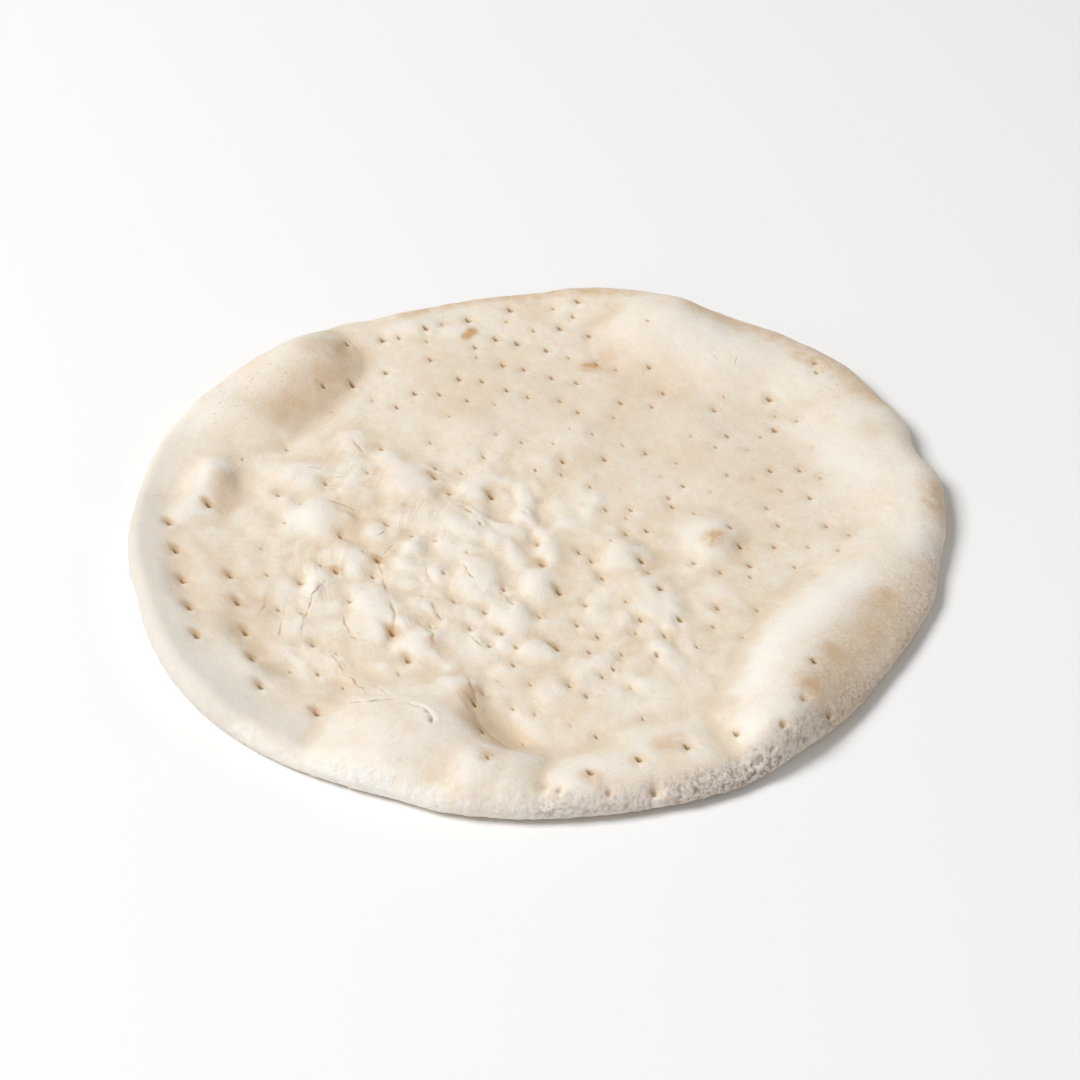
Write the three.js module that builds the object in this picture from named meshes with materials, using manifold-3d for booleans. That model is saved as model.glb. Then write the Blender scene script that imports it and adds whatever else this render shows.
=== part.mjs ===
import * as THREE from 'three';
import { mergeVertices } from 'three/addons/utils/BufferGeometryUtils.js';
import Module from 'manifold-3d';

// A part-baked pizza base: one round of pale dough, thin in the middle, with an uneven puffed rim,
// raised blisters and rows of docking pricks. Millimetres, +Z up, the flat underside on z = 0.
// Angles are in degrees, counted from +X towards +Y.

const wasm = await Module();
wasm.setup();

// Overall size of the round and of its edge. The shoulder is wider on the right than on the left.
const MEAN_RADIUS = 146.7;
const FLOOR_THICKNESS = 7;
const SHOULDER_WIDTH = 8;
const SHOULDER_SWING = 0.35;
const UNDERCUT_WIDTH = 5;
const BELLY_SHARE = 0.45;

// Slow waves that take the outline a little out of round.
const OUTLINE_WAVES = [
  { lobes: 2, swell: 2.0, peak: 38 },
  { lobes: 3, swell: 1.6, peak: 43 },
  { lobes: 5, swell: 1.2, peak: 7 },
  { lobes: 8, swell: 0.9, peak: -11 },
];
// Local swells and pinches of it: the angle, the reach to either side and the swell.
const OUTLINE_BENDS = [
  { angle: 9, reach: 9, swell: 1.9 },
  { angle: 16, reach: 7, swell: -2.4 },
  { angle: 24, reach: 5, swell: 1 },
  { angle: 80, reach: 10, swell: 1 },
  { angle: 123, reach: 6, swell: 2.6 },
  { angle: 134, reach: 6, swell: -1.6 },
  { angle: 147, reach: 9, swell: 1.4 },
  { angle: 168, reach: 12, swell: -1 },
  { angle: 188, reach: 10, swell: 1.2 },
  { angle: 228, reach: 18, swell: 0.9 },
  { angle: 250, reach: 10, swell: -1.1 },
  { angle: 307, reach: 11, swell: -1 },
  { angle: 352, reach: 9, swell: -2 },
];

// Puffs of the rim, as soft rolls: the rise at the first and the last place of the crest, the softness
// of the foot, the reach inwards and outwards, and the places along the crest.
const RIM_ROLLS = [
  { first: 6.2, last: 8.6, softness: 1.2, inwards: 27, outwards: 24,
    crest: [[-112, 64], [-93, 93]] },
  { first: 4, last: 4.6, softness: 2, inwards: 28, outwards: 40,
    crest: [[-131, 38], [-119, 57]] },
  { first: 4.6, last: 5.6, softness: 2, inwards: 38, outwards: 70,
    crest: [[-139, -20], [-137, -32], [-127, -64], [-114, -86]] },
  { first: 3.4, last: 3, softness: 2, inwards: 28, outwards: 70,
    crest: [[-105, -96], [-88, -110]] },
  { first: 9.2, last: 9, softness: 2.1, inwards: 36, outwards: 40,
    crest: [[-49, -119], [-40, -116]] },
  { first: 7.6, last: 6.2, softness: 1.6, inwards: 21, outwards: 30,
    crest: [[-20, -132], [-12, -134]] },
  { first: 4.6, last: 4.4, softness: 1.4, inwards: 17, outwards: 26,
    crest: [[11, -138], [27, -132]] },
  { first: 4.2, last: 3.6, softness: 1.6, inwards: 21, outwards: 30,
    crest: [[39, -126], [50, -122]] },
  { first: 9.2, last: 3.6, softness: 1.8, inwards: 26, outwards: 22,
    crest: [[80, -109], [90, -81], [104, -55], [121, -33], [134, -14]] },
  { first: 3, last: 3, softness: 2, inwards: 24, outwards: 30,
    crest: [[137, 0], [136, -8]] },
  { first: 5.4, last: 5, softness: 2, inwards: 33, outwards: 30,
    crest: [[122, 55], [132, 31], [138, 12]] },
  { first: 8, last: 5.6, softness: 1.9, inwards: 38, outwards: 21,
    crest: [[54, 115], [72, 102]] },
  { first: 4.4, last: 5, softness: 2, inwards: 32, outwards: 70,
    crest: [[84, 98], [108, 84]] },
  { first: 5, last: 2, softness: 2, inwards: 18, outwards: 30,
    crest: [[52, 127], [36, 131], [16, 135]] },
];
// Share of its rise that a roll loses over its outward reach.
const ROLL_FALL = 0.75;

// Blisters of the floor: place, long and short half size, turn of the long side and rise.
const BLISTERS = [
  { x: -123, y: 13, long: 21, short: 14, turn: 70, rise: 3.2 },
  { x: -119, y: 22, long: 13, short: 11, turn: 70, rise: 3.5 },
  { x: -80, y: -1, long: 17, short: 16, turn: 90, rise: 3.3 },
  { x: -88, y: 26, long: 13, short: 10, turn: -30, rise: 2 },
  { x: -70, y: 42, long: 12, short: 10, turn: 90, rise: 1.6 },
  { x: -46, y: 21, long: 17, short: 14, turn: 100, rise: 2.5 },
  { x: -54, y: 33, long: 13, short: 8, turn: 125, rise: 1.1 },
  { x: -38, y: -2, long: 24, short: 17, turn: 150, rise: 1.9 },
  { x: -22, y: 15, long: 9, short: 8, turn: 100, rise: 1.7 },
  { x: -12, y: -9, long: 8, short: 8, turn: 0, rise: 1.2 },
  { x: -24, y: -32, long: 15, short: 10, turn: 108, rise: 2.5 },
  { x: -32, y: -19, long: 13, short: 8, turn: 130, rise: 1.1 },
  { x: 0, y: -37, long: 15, short: 12, turn: 95, rise: 3 },
  { x: 3, y: -18, long: 14, short: 7, turn: 78, rise: 1.2 },
  { x: -7, y: -54, long: 9, short: 8, turn: 110, rise: 1.7 },
  { x: 0, y: -69, long: 14, short: 9, turn: -30, rise: 2.2 },
  { x: 30, y: -24, long: 14, short: 12, turn: 95, rise: 2.8 },
  { x: 40, y: -44, long: 21, short: 12, turn: 115, rise: 2.2 },
  { x: 61, y: -10, long: 21, short: 15, turn: 95, rise: 3.4 },
  { x: -56, y: -51, long: 17, short: 9, turn: 100, rise: 2.7 },
  { x: -40, y: -66, long: 11, short: 10, turn: 90, rise: 2.7 },
  { x: -27, y: -91, long: 13, short: 10, turn: 100, rise: 3 },
  { x: -76, y: -34, long: 9, short: 8, turn: 30, rise: 1.7 },
  { x: -66, y: -20, long: 16, short: 9, turn: -35, rise: 1.4 },
  { x: 12, y: 46, long: 20, short: 15, turn: 60, rise: 1.4 },
  { x: 5, y: 32, long: 18, short: 12, turn: 80, rise: 0.9 },
  { x: -28, y: 57, long: 16, short: 12, turn: -20, rise: 1.1 },
  { x: 20, y: 14, long: 16, short: 9, turn: 95, rise: 0.8 },
  { x: 60, y: 52, long: 28, short: 16, turn: -50, rise: 0.8 },
  { x: 17, y: -81, long: 10, short: 8, turn: 0, rise: 0.9 },
  { x: 5, y: -93, long: 12, short: 8, turn: 100, rise: 0.9 },
  { x: 56, y: -103, long: 10, short: 9, turn: 60, rise: 0.9 },
  { x: 66, y: -37, long: 10, short: 9, turn: 0, rise: 0.8 },
  { x: -48, y: 119, long: 12, short: 9, turn: 20, rise: 1.2 },
  { x: -30, y: 115, long: 9, short: 8, turn: 0, rise: 0.9 },
];
const BLISTER_FIRMNESS = 1.8;

// Dips, in the same way, with their depth as the rise of the dome that is taken away.
const DIPS = [
  { x: -13, y: 7, long: 14, short: 9, turn: 95, rise: 2.4 },
  { x: 3, y: 4, long: 11, short: 6, turn: 85, rise: 1.6 },
  { x: -15, y: -108, long: 19, short: 12, turn: -45, rise: 2.9 },
  { x: -107, y: 20, long: 13, short: 10, turn: 80, rise: 1.8 },
  { x: -91, y: -75, long: 25, short: 9, turn: -58, rise: 1.7 },
  { x: 43, y: -22, long: 9, short: 8, turn: 0, rise: 0.6 },
  { x: -72, y: 98, long: 8, short: 6, turn: 60, rise: 1.2 },
  { x: -122, y: -38, long: 34, short: 9, turn: -76, rise: 1.5 },
];

// Where puffs or blisters meet, the higher one wins, more sharply with a higher power.
const MEETING_POWER = 3;

// Rows of docking pricks that stand out: the first place, the step, the count and the strength.
const PRICK_ROWS = [
  { x: -60, y: 110.5, stepX: 16.5, stepY: 6.5, count: 4, strength: 1 },
  { x: -73.5, y: 106, stepX: 3, stepY: -25, count: 2, strength: 1 },
  { x: -81, y: 76, stepX: 1, stepY: 0, count: 1, strength: 0.7 },
  { x: -58, y: 89, stepX: 17, stepY: 8.2, count: 3, strength: 0.7 },
  { x: -16, y: 111, stepX: 8.4, stepY: -3, count: 2, strength: 0.9 },
  { x: -53, y: 67.5, stepX: 16, stepY: 8, count: 4, strength: 0.6 },
  { x: -46.5, y: 76, stepX: 16.7, stepY: 9.1, count: 5, strength: 0.75 },
  { x: 9, y: 117.5, stepX: 7, stepY: 16, count: 2, strength: 0.9 },
  { x: -11.5, y: 77.5, stepX: 17.2, stepY: 8.5, count: 3, strength: 0.6 },
  { x: -3.5, y: 73.5, stepX: 12.3, stepY: -2, count: 2, strength: 0.5 },
  { x: 15.5, y: 64.5, stepX: 16.3, stepY: 5.5, count: 2, strength: 0.6 },
  { x: 9.5, y: 33.5, stepX: 15.5, stepY: 2.5, count: 2, strength: 0.7 },
  { x: -37.5, y: 23.5, stepX: 21, stepY: -10, count: 2, strength: 0.9 },
  { x: -118.8, y: 6, stepX: 1, stepY: 0, count: 1, strength: 1 },
  { x: -132, y: -5, stepX: 3.9, stepY: -15.7, count: 5, strength: 1 },
  { x: -108, y: -32, stepX: 3.75, stepY: -14.9, count: 5, strength: 0.9 },
  { x: -73.5, y: -103, stepX: 1, stepY: 0, count: 1, strength: 0.9 },
  { x: -71, y: -30, stepX: 14.5, stepY: 7, count: 2, strength: 0.8 },
  { x: -50, y: -62, stepX: 6, stepY: -13.5, count: 2, strength: 0.8 },
  { x: 2, y: -25.5, stepX: 5.8, stepY: -15, count: 2, strength: 0.9 },
  { x: 37, y: -24, stepX: 6.3, stepY: -15.5, count: 3, strength: 0.9 },
  { x: 69.5, y: -5.5, stepX: 3, stepY: -9.8, count: 3, strength: 0.7 },
  { x: 87, y: -2.5, stepX: -2.2, stepY: -12, count: 2, strength: 0.5 },
  { x: 63, y: -48, stepX: 1, stepY: 0, count: 1, strength: 0.6 },
  { x: 7, y: -69.5, stepX: 1, stepY: 0, count: 1, strength: 0.9 },
  { x: -21, y: -99.5, stepX: 3, stepY: -12.5, count: 2, strength: 0.8 },
  { x: 17.5, y: -134, stepX: 16, stepY: 6.6, count: 3, strength: 1 },
  { x: 66, y: -115, stepX: 1, stepY: 0, count: 1, strength: 0.7 },
  { x: 2, y: -139, stepX: 5, stepY: -2, count: 2, strength: 0.6 },
  { x: 23, y: -141, stepX: 15, stepY: 2, count: 2, strength: 0.8 },
  { x: 81, y: -114, stepX: 16, stepY: 10, count: 2, strength: 1 },
  { x: 88.5, y: -102, stepX: 5.2, stepY: 18.5, count: 2, strength: 0.9 },
  { x: 88, y: 71, stepX: 1, stepY: -18, count: 2, strength: 0.9 },
  { x: 86, y: 29, stepX: 1, stepY: 0, count: 1, strength: 0.6 },
  { x: 106, y: 88, stepX: 0.4, stepY: -5.5, count: 2, strength: 0.9 },
  { x: 67, y: 65, stepX: 4, stepY: -16, count: 2, strength: 0.6 },
  { x: 43, y: 90, stepX: 5, stepY: -14, count: 2, strength: 0.6 },
  { x: 43, y: 114, stepX: 1, stepY: 0, count: 1, strength: 0.4 },
];

// The fainter ones: two passes of a studded roller, each a slanted lattice with its own start.
const ROLLER_STEP = { x: 16.0, y: 7.4 };
const ROLLER_ROW = { x: -3.4, y: 16.2 };
const ROLLER_PASSES = [
  { x: -20.5, y: 83.5 },
  { x: -11.5, y: 77.5 },
];
const ROLLER_REACH = 16;
const PRICK_DRIFT = 1.6;
const PRICK_KEPT_SHARE = 0.6;
const PRICK_EDGE_MARGIN = 9;
const PRICK_SPACING = 6;
// The rise of a puff or blister, or the depth of a dip, above which the faint ones have closed.
const PRICK_CLOSING_RISE = 1.4;
const PRICK_SEED = 41;
const FAINT_LEAST = 0.1;
const FAINT_MOST = 0.6;

// Sizes of a prick at no strength, and what full strength adds.
const PRICK_RADIUS = 1;
const PRICK_RADIUS_GAIN = 0.5;
const PRICK_DEPTH = 1.6;
const PRICK_DEPTH_GAIN = 2.4;
const PRICK_SIDES = 5;
const PRICK_CLEARANCE = 1.5;

// Fineness of the faceted surface.
const SECTORS = 116;
const TOP_RINGS = 25;
const SHOULDER_STEPS = 4;
const UNDERCUT_STEPS = 3;

const DOUGH_COLOUR = 0xe6d9c8;
const DOUGH_ROUGHNESS = 0.85;

const toRadians = THREE.MathUtils.degToRad;
const clamp = THREE.MathUtils.clamp;

// One in the middle, fading smoothly to nothing at a distance of one.
function hump(distance) {
  return Math.max(0, 1 - distance ** 2) ** 2;
}

function edgeRadius(angle) {
  let radius = MEAN_RADIUS;
  for (const wave of OUTLINE_WAVES) {
    radius += wave.swell * Math.cos(wave.lobes * (angle - toRadians(wave.peak)));
  }
  for (const bend of OUTLINE_BENDS) {
    const away = angle - toRadians(bend.angle);
    const turn = Math.atan2(Math.sin(away), Math.cos(away));
    radius += bend.swell * hump(turn / toRadians(bend.reach));
  }
  return radius;
}

function shoulderWidth(angle) {
  return SHOULDER_WIDTH * (1 + SHOULDER_SWING * Math.cos(angle));
}

// A smooth step from zero at nothing to one at a value of one.
function ease(value) {
  return THREE.MathUtils.smoothstep(value, 0, 1);
}

// The place on a crest that is nearest to a point, and how far along the crest, from zero to one.
function crestPlace(x, y, crest) {
  let nearest = { distance: Infinity };
  for (let index = 0; index + 1 < crest.length; index += 1) {
    const [startX, startY] = crest[index];
    const runX = crest[index + 1][0] - startX;
    const runY = crest[index + 1][1] - startY;
    const share = clamp(((x - startX) * runX + (y - startY) * runY) / (runX ** 2 + runY ** 2), 0, 1);
    const onX = startX + share * runX;
    const onY = startY + share * runY;
    const distance = Math.hypot(x - onX, y - onY);
    if (distance < nearest.distance) {
      nearest = { distance, onX, onY, along: (index + share) / (crest.length - 1) };
    }
  }
  return nearest;
}

// Joins forms that overlap: the higher wins, with a soft crease between them.
function met(forms) {
  const total = forms.reduce((sum, form) => sum + form ** MEETING_POWER, 0);
  return total ** (1 / MEETING_POWER);
}

function rimRise(x, y) {
  return met(RIM_ROLLS.map((roll) => {
    const { distance, onX, onY, along } = crestPlace(x, y, roll.crest);
    const outwards = ((x - onX) * onX + (y - onY) * onY) / Math.hypot(onX, onY);
    const out = Math.max(0, outwards);
    const away = Math.sqrt(Math.max(0, distance ** 2 - out ** 2));
    const inner = Math.max(0, 1 - (away / roll.inwards) ** 2) ** roll.softness;
    const outer = 1 - ROLL_FALL * ease(out / roll.outwards);
    return THREE.MathUtils.lerp(roll.first, roll.last, along) * inner * outer;
  }));
}

function domes(x, y, table) {
  return met(table.map((dome) => {
    const cos = Math.cos(toRadians(dome.turn));
    const sin = Math.sin(toRadians(dome.turn));
    const along = (x - dome.x) * cos + (y - dome.y) * sin;
    const aside = (y - dome.y) * cos - (x - dome.x) * sin;
    const left = Math.max(0, 1 - (along / dome.long) ** 2 - (aside / dome.short) ** 2);
    return dome.rise * left ** BLISTER_FIRMNESS;
  }));
}

function topHeight(x, y) {
  return FLOOR_THICKNESS + rimRise(x, y) + domes(x, y, BLISTERS) - domes(x, y, DIPS);
}

// Height of the dough at a place, which falls from the top's on the rounded shoulder.
function doughHeight(x, y) {
  const angle = Math.atan2(y, x);
  const inset = (edgeRadius(angle) - Math.hypot(x, y)) / shoulderWidth(angle);
  const across = 1 - clamp(inset, 0, 1);
  const share = BELLY_SHARE + (1 - BELLY_SHARE) * Math.sqrt(1 - across ** 2);
  return share * topHeight(x, y);
}

// Radius in the finished outline of a place of the plain puck.
function drawnRadius(plainRadius, angle) {
  const edge = edgeRadius(angle);
  const shoulder = shoulderWidth(angle);
  const plainTop = MEAN_RADIUS - SHOULDER_WIDTH;
  if (plainRadius < plainTop) {
    return (plainRadius / plainTop) * (edge - shoulder);
  }
  return edge - (shoulder * (MEAN_RADIUS - plainRadius)) / SHOULDER_WIDTH;
}

// Half of the section of a plain puck: underside, rounded edge, shoulder and top, axis to axis.
function puckSection() {
  const section = [new THREE.Vector2(0, 0)];
  for (let step = 0; step <= UNDERCUT_STEPS; step += 1) {
    const turn = (Math.PI / 2) * (step / UNDERCUT_STEPS);
    const radius = MEAN_RADIUS - UNDERCUT_WIDTH * (1 - Math.sin(turn));
    const share = BELLY_SHARE * (1 - Math.cos(turn));
    section.push(new THREE.Vector2(radius, share * FLOOR_THICKNESS));
  }
  for (let step = 1; step <= SHOULDER_STEPS; step += 1) {
    const turn = (Math.PI / 2) * (step / SHOULDER_STEPS);
    const radius = MEAN_RADIUS - SHOULDER_WIDTH * (1 - Math.cos(turn));
    const share = BELLY_SHARE + (1 - BELLY_SHARE) * Math.sin(turn);
    section.push(new THREE.Vector2(radius, share * FLOOR_THICKNESS));
  }
  for (let ring = TOP_RINGS - 1; ring >= 0; ring -= 1) {
    const radius = (MEAN_RADIUS - SHOULDER_WIDTH) * (ring / TOP_RINGS);
    section.push(new THREE.Vector2(radius, FLOOR_THICKNESS));
  }
  return section;
}

// The puck turned on a lathe, then drawn out to the outline and raised to the uneven top.
function doughGeometry() {
  const geometry = new THREE.LatheGeometry(puckSection(), SECTORS);
  geometry.rotateX(Math.PI / 2);
  const position = geometry.attributes.position;
  for (let index = 0; index < position.count; index += 1) {
    const angle = Math.atan2(position.getY(index), position.getX(index));
    const plainRadius = Math.hypot(position.getX(index), position.getY(index));
    const radius = drawnRadius(plainRadius, angle);
    const x = radius * Math.cos(angle);
    const y = radius * Math.sin(angle);
    const share = position.getZ(index) / FLOOR_THICKNESS;
    position.setXYZ(index, x, y, share * topHeight(x, y));
  }
  return geometry;
}

// Repeatable draws between zero and one.
function makeDraws(seed) {
  let state = seed;
  return () => {
    state = (Math.imul(state, 1664525) + 1013904223) >>> 0;
    return state / 2 ** 32;
  };
}

function rowPricks() {
  const pricks = [];
  for (const row of PRICK_ROWS) {
    for (let index = 0; index < row.count; index += 1) {
      const x = row.x + index * row.stepX;
      const y = row.y + index * row.stepY;
      pricks.push({ x, y, strength: row.strength });
    }
  }
  return pricks;
}

// The lattice points of both passes that stayed open, drifted a little and of uneven strength.
function rollerPricks(clear) {
  const draw = makeDraws(PRICK_SEED);
  const pricks = [];
  for (const pass of ROLLER_PASSES) {
    for (let step = -ROLLER_REACH; step <= ROLLER_REACH; step += 1) {
      for (let row = -ROLLER_REACH; row <= ROLLER_REACH; row += 1) {
        const driftX = PRICK_DRIFT * (2 * draw() - 1);
        const driftY = PRICK_DRIFT * (2 * draw() - 1);
        const strength = FAINT_LEAST + draw() * (FAINT_MOST - FAINT_LEAST);
        const kept = draw() < PRICK_KEPT_SHARE;
        const x = pass.x + step * ROLLER_STEP.x + row * ROLLER_ROW.x + driftX;
        const y = pass.y + step * ROLLER_STEP.y + row * ROLLER_ROW.y + driftY;
        const inside = Math.hypot(x, y) < edgeRadius(Math.atan2(y, x)) - PRICK_EDGE_MARGIN;
        const free = clear.every((other) => Math.hypot(x - other.x, y - other.y) > PRICK_SPACING);
        const unevenness = Math.max(rimRise(x, y), domes(x, y, BLISTERS), domes(x, y, DIPS));
        const open = unevenness < PRICK_CLOSING_RISE;
        if (kept && inside && free && open) {
          pricks.push({ x, y, strength });
        }
      }
    }
  }
  return pricks;
}

// A pointed cutter that stands in the dough, as wide as the prick where it meets the top.
function prickGeometry(prick) {
  const depth = PRICK_DEPTH + prick.strength * PRICK_DEPTH_GAIN;
  const length = depth + PRICK_CLEARANCE;
  const mouth = PRICK_RADIUS + prick.strength * PRICK_RADIUS_GAIN;
  const radius = mouth * (length / depth);
  const geometry = new THREE.ConeGeometry(radius, length, PRICK_SIDES);
  geometry.rotateX(-Math.PI / 2);
  geometry.translate(prick.x, prick.y, doughHeight(prick.x, prick.y) - depth + length / 2);
  return geometry;
}

// A closed solid from a geometry, with doubled points joined and empty triangles left out.
function solidFrom(geometry) {
  geometry.deleteAttribute('normal');
  geometry.deleteAttribute('uv');
  const joined = mergeVertices(geometry);
  const corners = joined.index.array;
  const triangles = [];
  for (let first = 0; first < corners.length; first += 3) {
    const [a, b, c] = corners.slice(first, first + 3);
    if (a !== b && b !== c && c !== a) {
      triangles.push(a, b, c);
    }
  }
  return new wasm.Manifold(new wasm.Mesh({
    numProp: 3,
    vertProperties: new Float32Array(joined.attributes.position.array),
    triVerts: new Uint32Array(triangles),
  }));
}

function geometryFrom(solid) {
  const mesh = solid.getMesh();
  const geometry = new THREE.BufferGeometry();
  geometry.setAttribute('position', new THREE.BufferAttribute(mesh.vertProperties, mesh.numProp));
  geometry.setIndex(new THREE.BufferAttribute(mesh.triVerts, 1));
  return geometry;
}

function pizzaBaseGeometry() {
  const clear = rowPricks();
  let solid = solidFrom(doughGeometry());
  for (const prick of [...clear, ...rollerPricks(clear)]) {
    solid = solid.subtract(solidFrom(prickGeometry(prick)));
  }
  const geometry = geometryFrom(solid);
  geometry.computeBoundingBox();
  const middle = geometry.boundingBox.getCenter(new THREE.Vector3());
  geometry.translate(-middle.x, -middle.y, 0);
  geometry.computeVertexNormals();
  return geometry;
}

const dough = new THREE.MeshStandardMaterial({
  name: 'dough',
  color: DOUGH_COLOUR,
  roughness: DOUGH_ROUGHNESS,
  metalness: 0,
});

const pizzaBase = new THREE.Mesh(pizzaBaseGeometry(), dough);
pizzaBase.name = 'pizza_base';

const part = new THREE.Group();
part.name = 'part';
part.add(pizzaBase);

export default part;
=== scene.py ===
import itertools
import math

import bmesh
import bpy
import numpy as np
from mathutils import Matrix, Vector


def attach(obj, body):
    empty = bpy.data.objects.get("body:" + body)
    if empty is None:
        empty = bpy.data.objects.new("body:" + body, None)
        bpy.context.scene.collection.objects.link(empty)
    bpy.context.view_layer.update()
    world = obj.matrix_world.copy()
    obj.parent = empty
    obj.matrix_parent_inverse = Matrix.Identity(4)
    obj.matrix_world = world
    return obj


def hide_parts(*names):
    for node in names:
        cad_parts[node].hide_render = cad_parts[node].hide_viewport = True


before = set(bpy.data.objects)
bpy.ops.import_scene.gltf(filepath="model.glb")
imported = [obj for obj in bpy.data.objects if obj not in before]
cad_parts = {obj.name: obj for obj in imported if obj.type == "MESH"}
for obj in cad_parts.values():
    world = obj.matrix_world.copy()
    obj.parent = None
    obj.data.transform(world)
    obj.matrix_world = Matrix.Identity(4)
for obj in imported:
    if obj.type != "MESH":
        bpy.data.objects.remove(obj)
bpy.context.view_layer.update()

# One part-baked pizza base. The forms below are worked out in millimetres, with angles in degrees
# counted from +X towards +Y, and the finished piece is scaled to metres.
MM = 0.001

# The round and its edge, as in the solid.
MEAN_RADIUS = 146.7
FLOOR_THICKNESS = 7.0
SHOULDER_WIDTH, SHOULDER_SWING = 8.0, 0.35
TOP_SHARE = 1 - SHOULDER_WIDTH / MEAN_RADIUS
UNDERCUT_WIDTH = 5.0
BELLY_SHARE = 0.45

# Slow waves of the outline: lobes around, swell, angle of a peak.
OUTLINE_WAVES = [
    (2, 2.0, 38), (3, 1.6, 43), (5, 1.2, 7), (8, 0.9, -11),
]
# Local swells and pinches of the outline: angle, reach in degrees, swell.
OUTLINE_BENDS = [
    (9, 9, 1.9), (16, 7, -2.4), (24, 5, 1.0), (80, 10, 1.0), (123, 6, 2.6), (134, 6, -1.6),
    (147, 9, 1.4), (168, 12, -1.0), (188, 10, 1.2), (228, 18, 0.9), (250, 10, -1.1), (307, 11, -1.0),
    (352, 9, -2.0),
]

# Puffs of the rim, as soft rolls: rise at the first and the last place of the crest, softness of the foot,
# reach inwards, reach outwards, and places along the crest.
RIM_ROLLS = [
    (6.2, 8.6, 1.2, 27, 24, [(-112, 64), (-93, 93)]),
    (4.0, 4.6, 2.0, 28, 40, [(-131, 38), (-119, 57)]),
    (4.6, 5.6, 2.0, 38, 70, [(-139, -20), (-137, -32), (-127, -64), (-114, -86)]),
    (3.4, 3.0, 2.0, 28, 70, [(-105, -96), (-88, -110)]),
    (9.2, 9.0, 2.1, 36, 40, [(-49, -119), (-40, -116)]),
    (7.6, 6.2, 1.6, 21, 30, [(-20, -132), (-12, -134)]),
    (4.6, 4.4, 1.4, 17, 26, [(11, -138), (27, -132)]),
    (4.2, 3.6, 1.6, 21, 30, [(39, -126), (50, -122)]),
    (9.2, 3.6, 1.8, 26, 22, [(80, -109), (90, -81), (104, -55), (121, -33), (134, -14)]),
    (3.0, 3.0, 2.0, 24, 30, [(137, 0), (136, -8)]),
    (5.4, 5.0, 2.0, 33, 30, [(122, 55), (132, 31), (138, 12)]),
    (8.0, 5.6, 1.9, 38, 21, [(54, 115), (72, 102)]),
    (4.4, 5.0, 2.0, 32, 70, [(84, 98), (108, 84)]),
    (5.0, 2.0, 2.0, 18, 30, [(52, 127), (36, 131), (16, 135)]),
]
# Share of its rise that a roll loses over its outward reach.
ROLL_FALL = 0.75

# Blisters: x, y, long half size, short half size, turn of the long side, rise.
BLISTERS = [
    (-123, 13, 21, 14, 70, 3.2), (-119, 22, 13, 11, 70, 3.5), (-80, -1, 17, 16, 90, 3.3),
    (-88, 26, 13, 10, -30, 2), (-70, 42, 12, 10, 90, 1.6), (-46, 21, 17, 14, 100, 2.5),
    (-54, 33, 13, 8, 125, 1.1), (-38, -2, 24, 17, 150, 1.9), (-22, 15, 9, 8, 100, 1.7),
    (-12, -9, 8, 8, 0, 1.2), (-24, -32, 15, 10, 108, 2.5), (-32, -19, 13, 8, 130, 1.1),
    (0, -37, 15, 12, 95, 3), (3, -18, 14, 7, 78, 1.2), (-7, -54, 9, 8, 110, 1.7),
    (0, -69, 14, 9, -30, 2.2), (30, -24, 14, 12, 95, 2.8), (40, -44, 21, 12, 115, 2.2),
    (61, -10, 21, 15, 95, 3.4), (-56, -51, 17, 9, 100, 2.7), (-40, -66, 11, 10, 90, 2.7),
    (-27, -91, 13, 10, 100, 3), (-76, -34, 9, 8, 30, 1.7), (-66, -20, 16, 9, -35, 1.4),
    (12, 46, 20, 15, 60, 1.4), (5, 32, 18, 12, 80, 0.9), (-28, 57, 16, 12, -20, 1.1),
    (20, 14, 16, 9, 95, 0.8), (60, 52, 28, 16, -50, 0.8), (17, -81, 10, 8, 0, 0.9),
    (5, -93, 12, 8, 100, 0.9), (56, -103, 10, 9, 60, 0.9), (66, -37, 10, 9, 0, 0.8),
    (-48, 119, 12, 9, 20, 1.2), (-30, 115, 9, 8, 0, 0.9),
]
BLISTER_FIRMNESS = 1.8
# Dips, in the same way, with their depth.
DIPS = [
    (-13, 7, 14, 9, 95, 2.4), (3, 4, 11, 6, 85, 1.6), (-15, -108, 19, 12, -45, 2.9),
    (-107, 20, 13, 10, 80, 0.9), (-91, -75, 25, 9, -58, 1.7), (43, -22, 9, 8, 0, 0.6),
    (-72, 98, 8, 6, 60, 1.2), (-122, -38, 34, 9, -76, 1.5),
]
# Where puffs or blisters meet, the higher one wins, more sharply with a higher power.
MEETING_POWER = 3.0
# The dough's forms are drawn a little aside by noise: size of its waves and how far.
DRIFT_WAVES = [(46, 4.0), (19, 2.2), (8, 0.8)]
# Share of that drift that the rim's rolls follow.
RIM_DRIFT = 0.35
# Uneven heights all over: size of the waves and how high.
SMOOTH_WAVES = [(26, 0.5), (12, 0.22), (5, 0.1)]
# Lumps with creases between them where the dough is lumpy: size, how high; drawn out along a direction.
LUMPS = [(12, 1.4), (6.5, 0.65), (3.6, 0.4)]
LUMP_TURN, LUMP_STRETCH = -62, 1.2
LUMPY_MIDDLE, LUMPY_REACH = (-38, -22), 105
# In front on the right it is less lumpy: middle, reach and share.
FRONT_MIDDLE, FRONT_REACH, FRONT_SHARE = (34, -60), 68, 0.75
# The rise at which a blister's skin is stretched smooth, and how much of the lumps it loses there.
SMOOTH_RISE, SMOOTH_LOSS = 2.6, 0.8

# Small bubbles scattered by seeded draws where the dough is lumpy: half sizes and rises, least and most.
BUBBLE_COUNT, BUBBLE_SEED = 260, 17
BUBBLE_SIZE, BUBBLE_RISE = (3.6, 8.0), (0.4, 1.8)
BUBBLE_STRETCH, BUBBLE_SWING = (1.0, 1.7), 35

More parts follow.
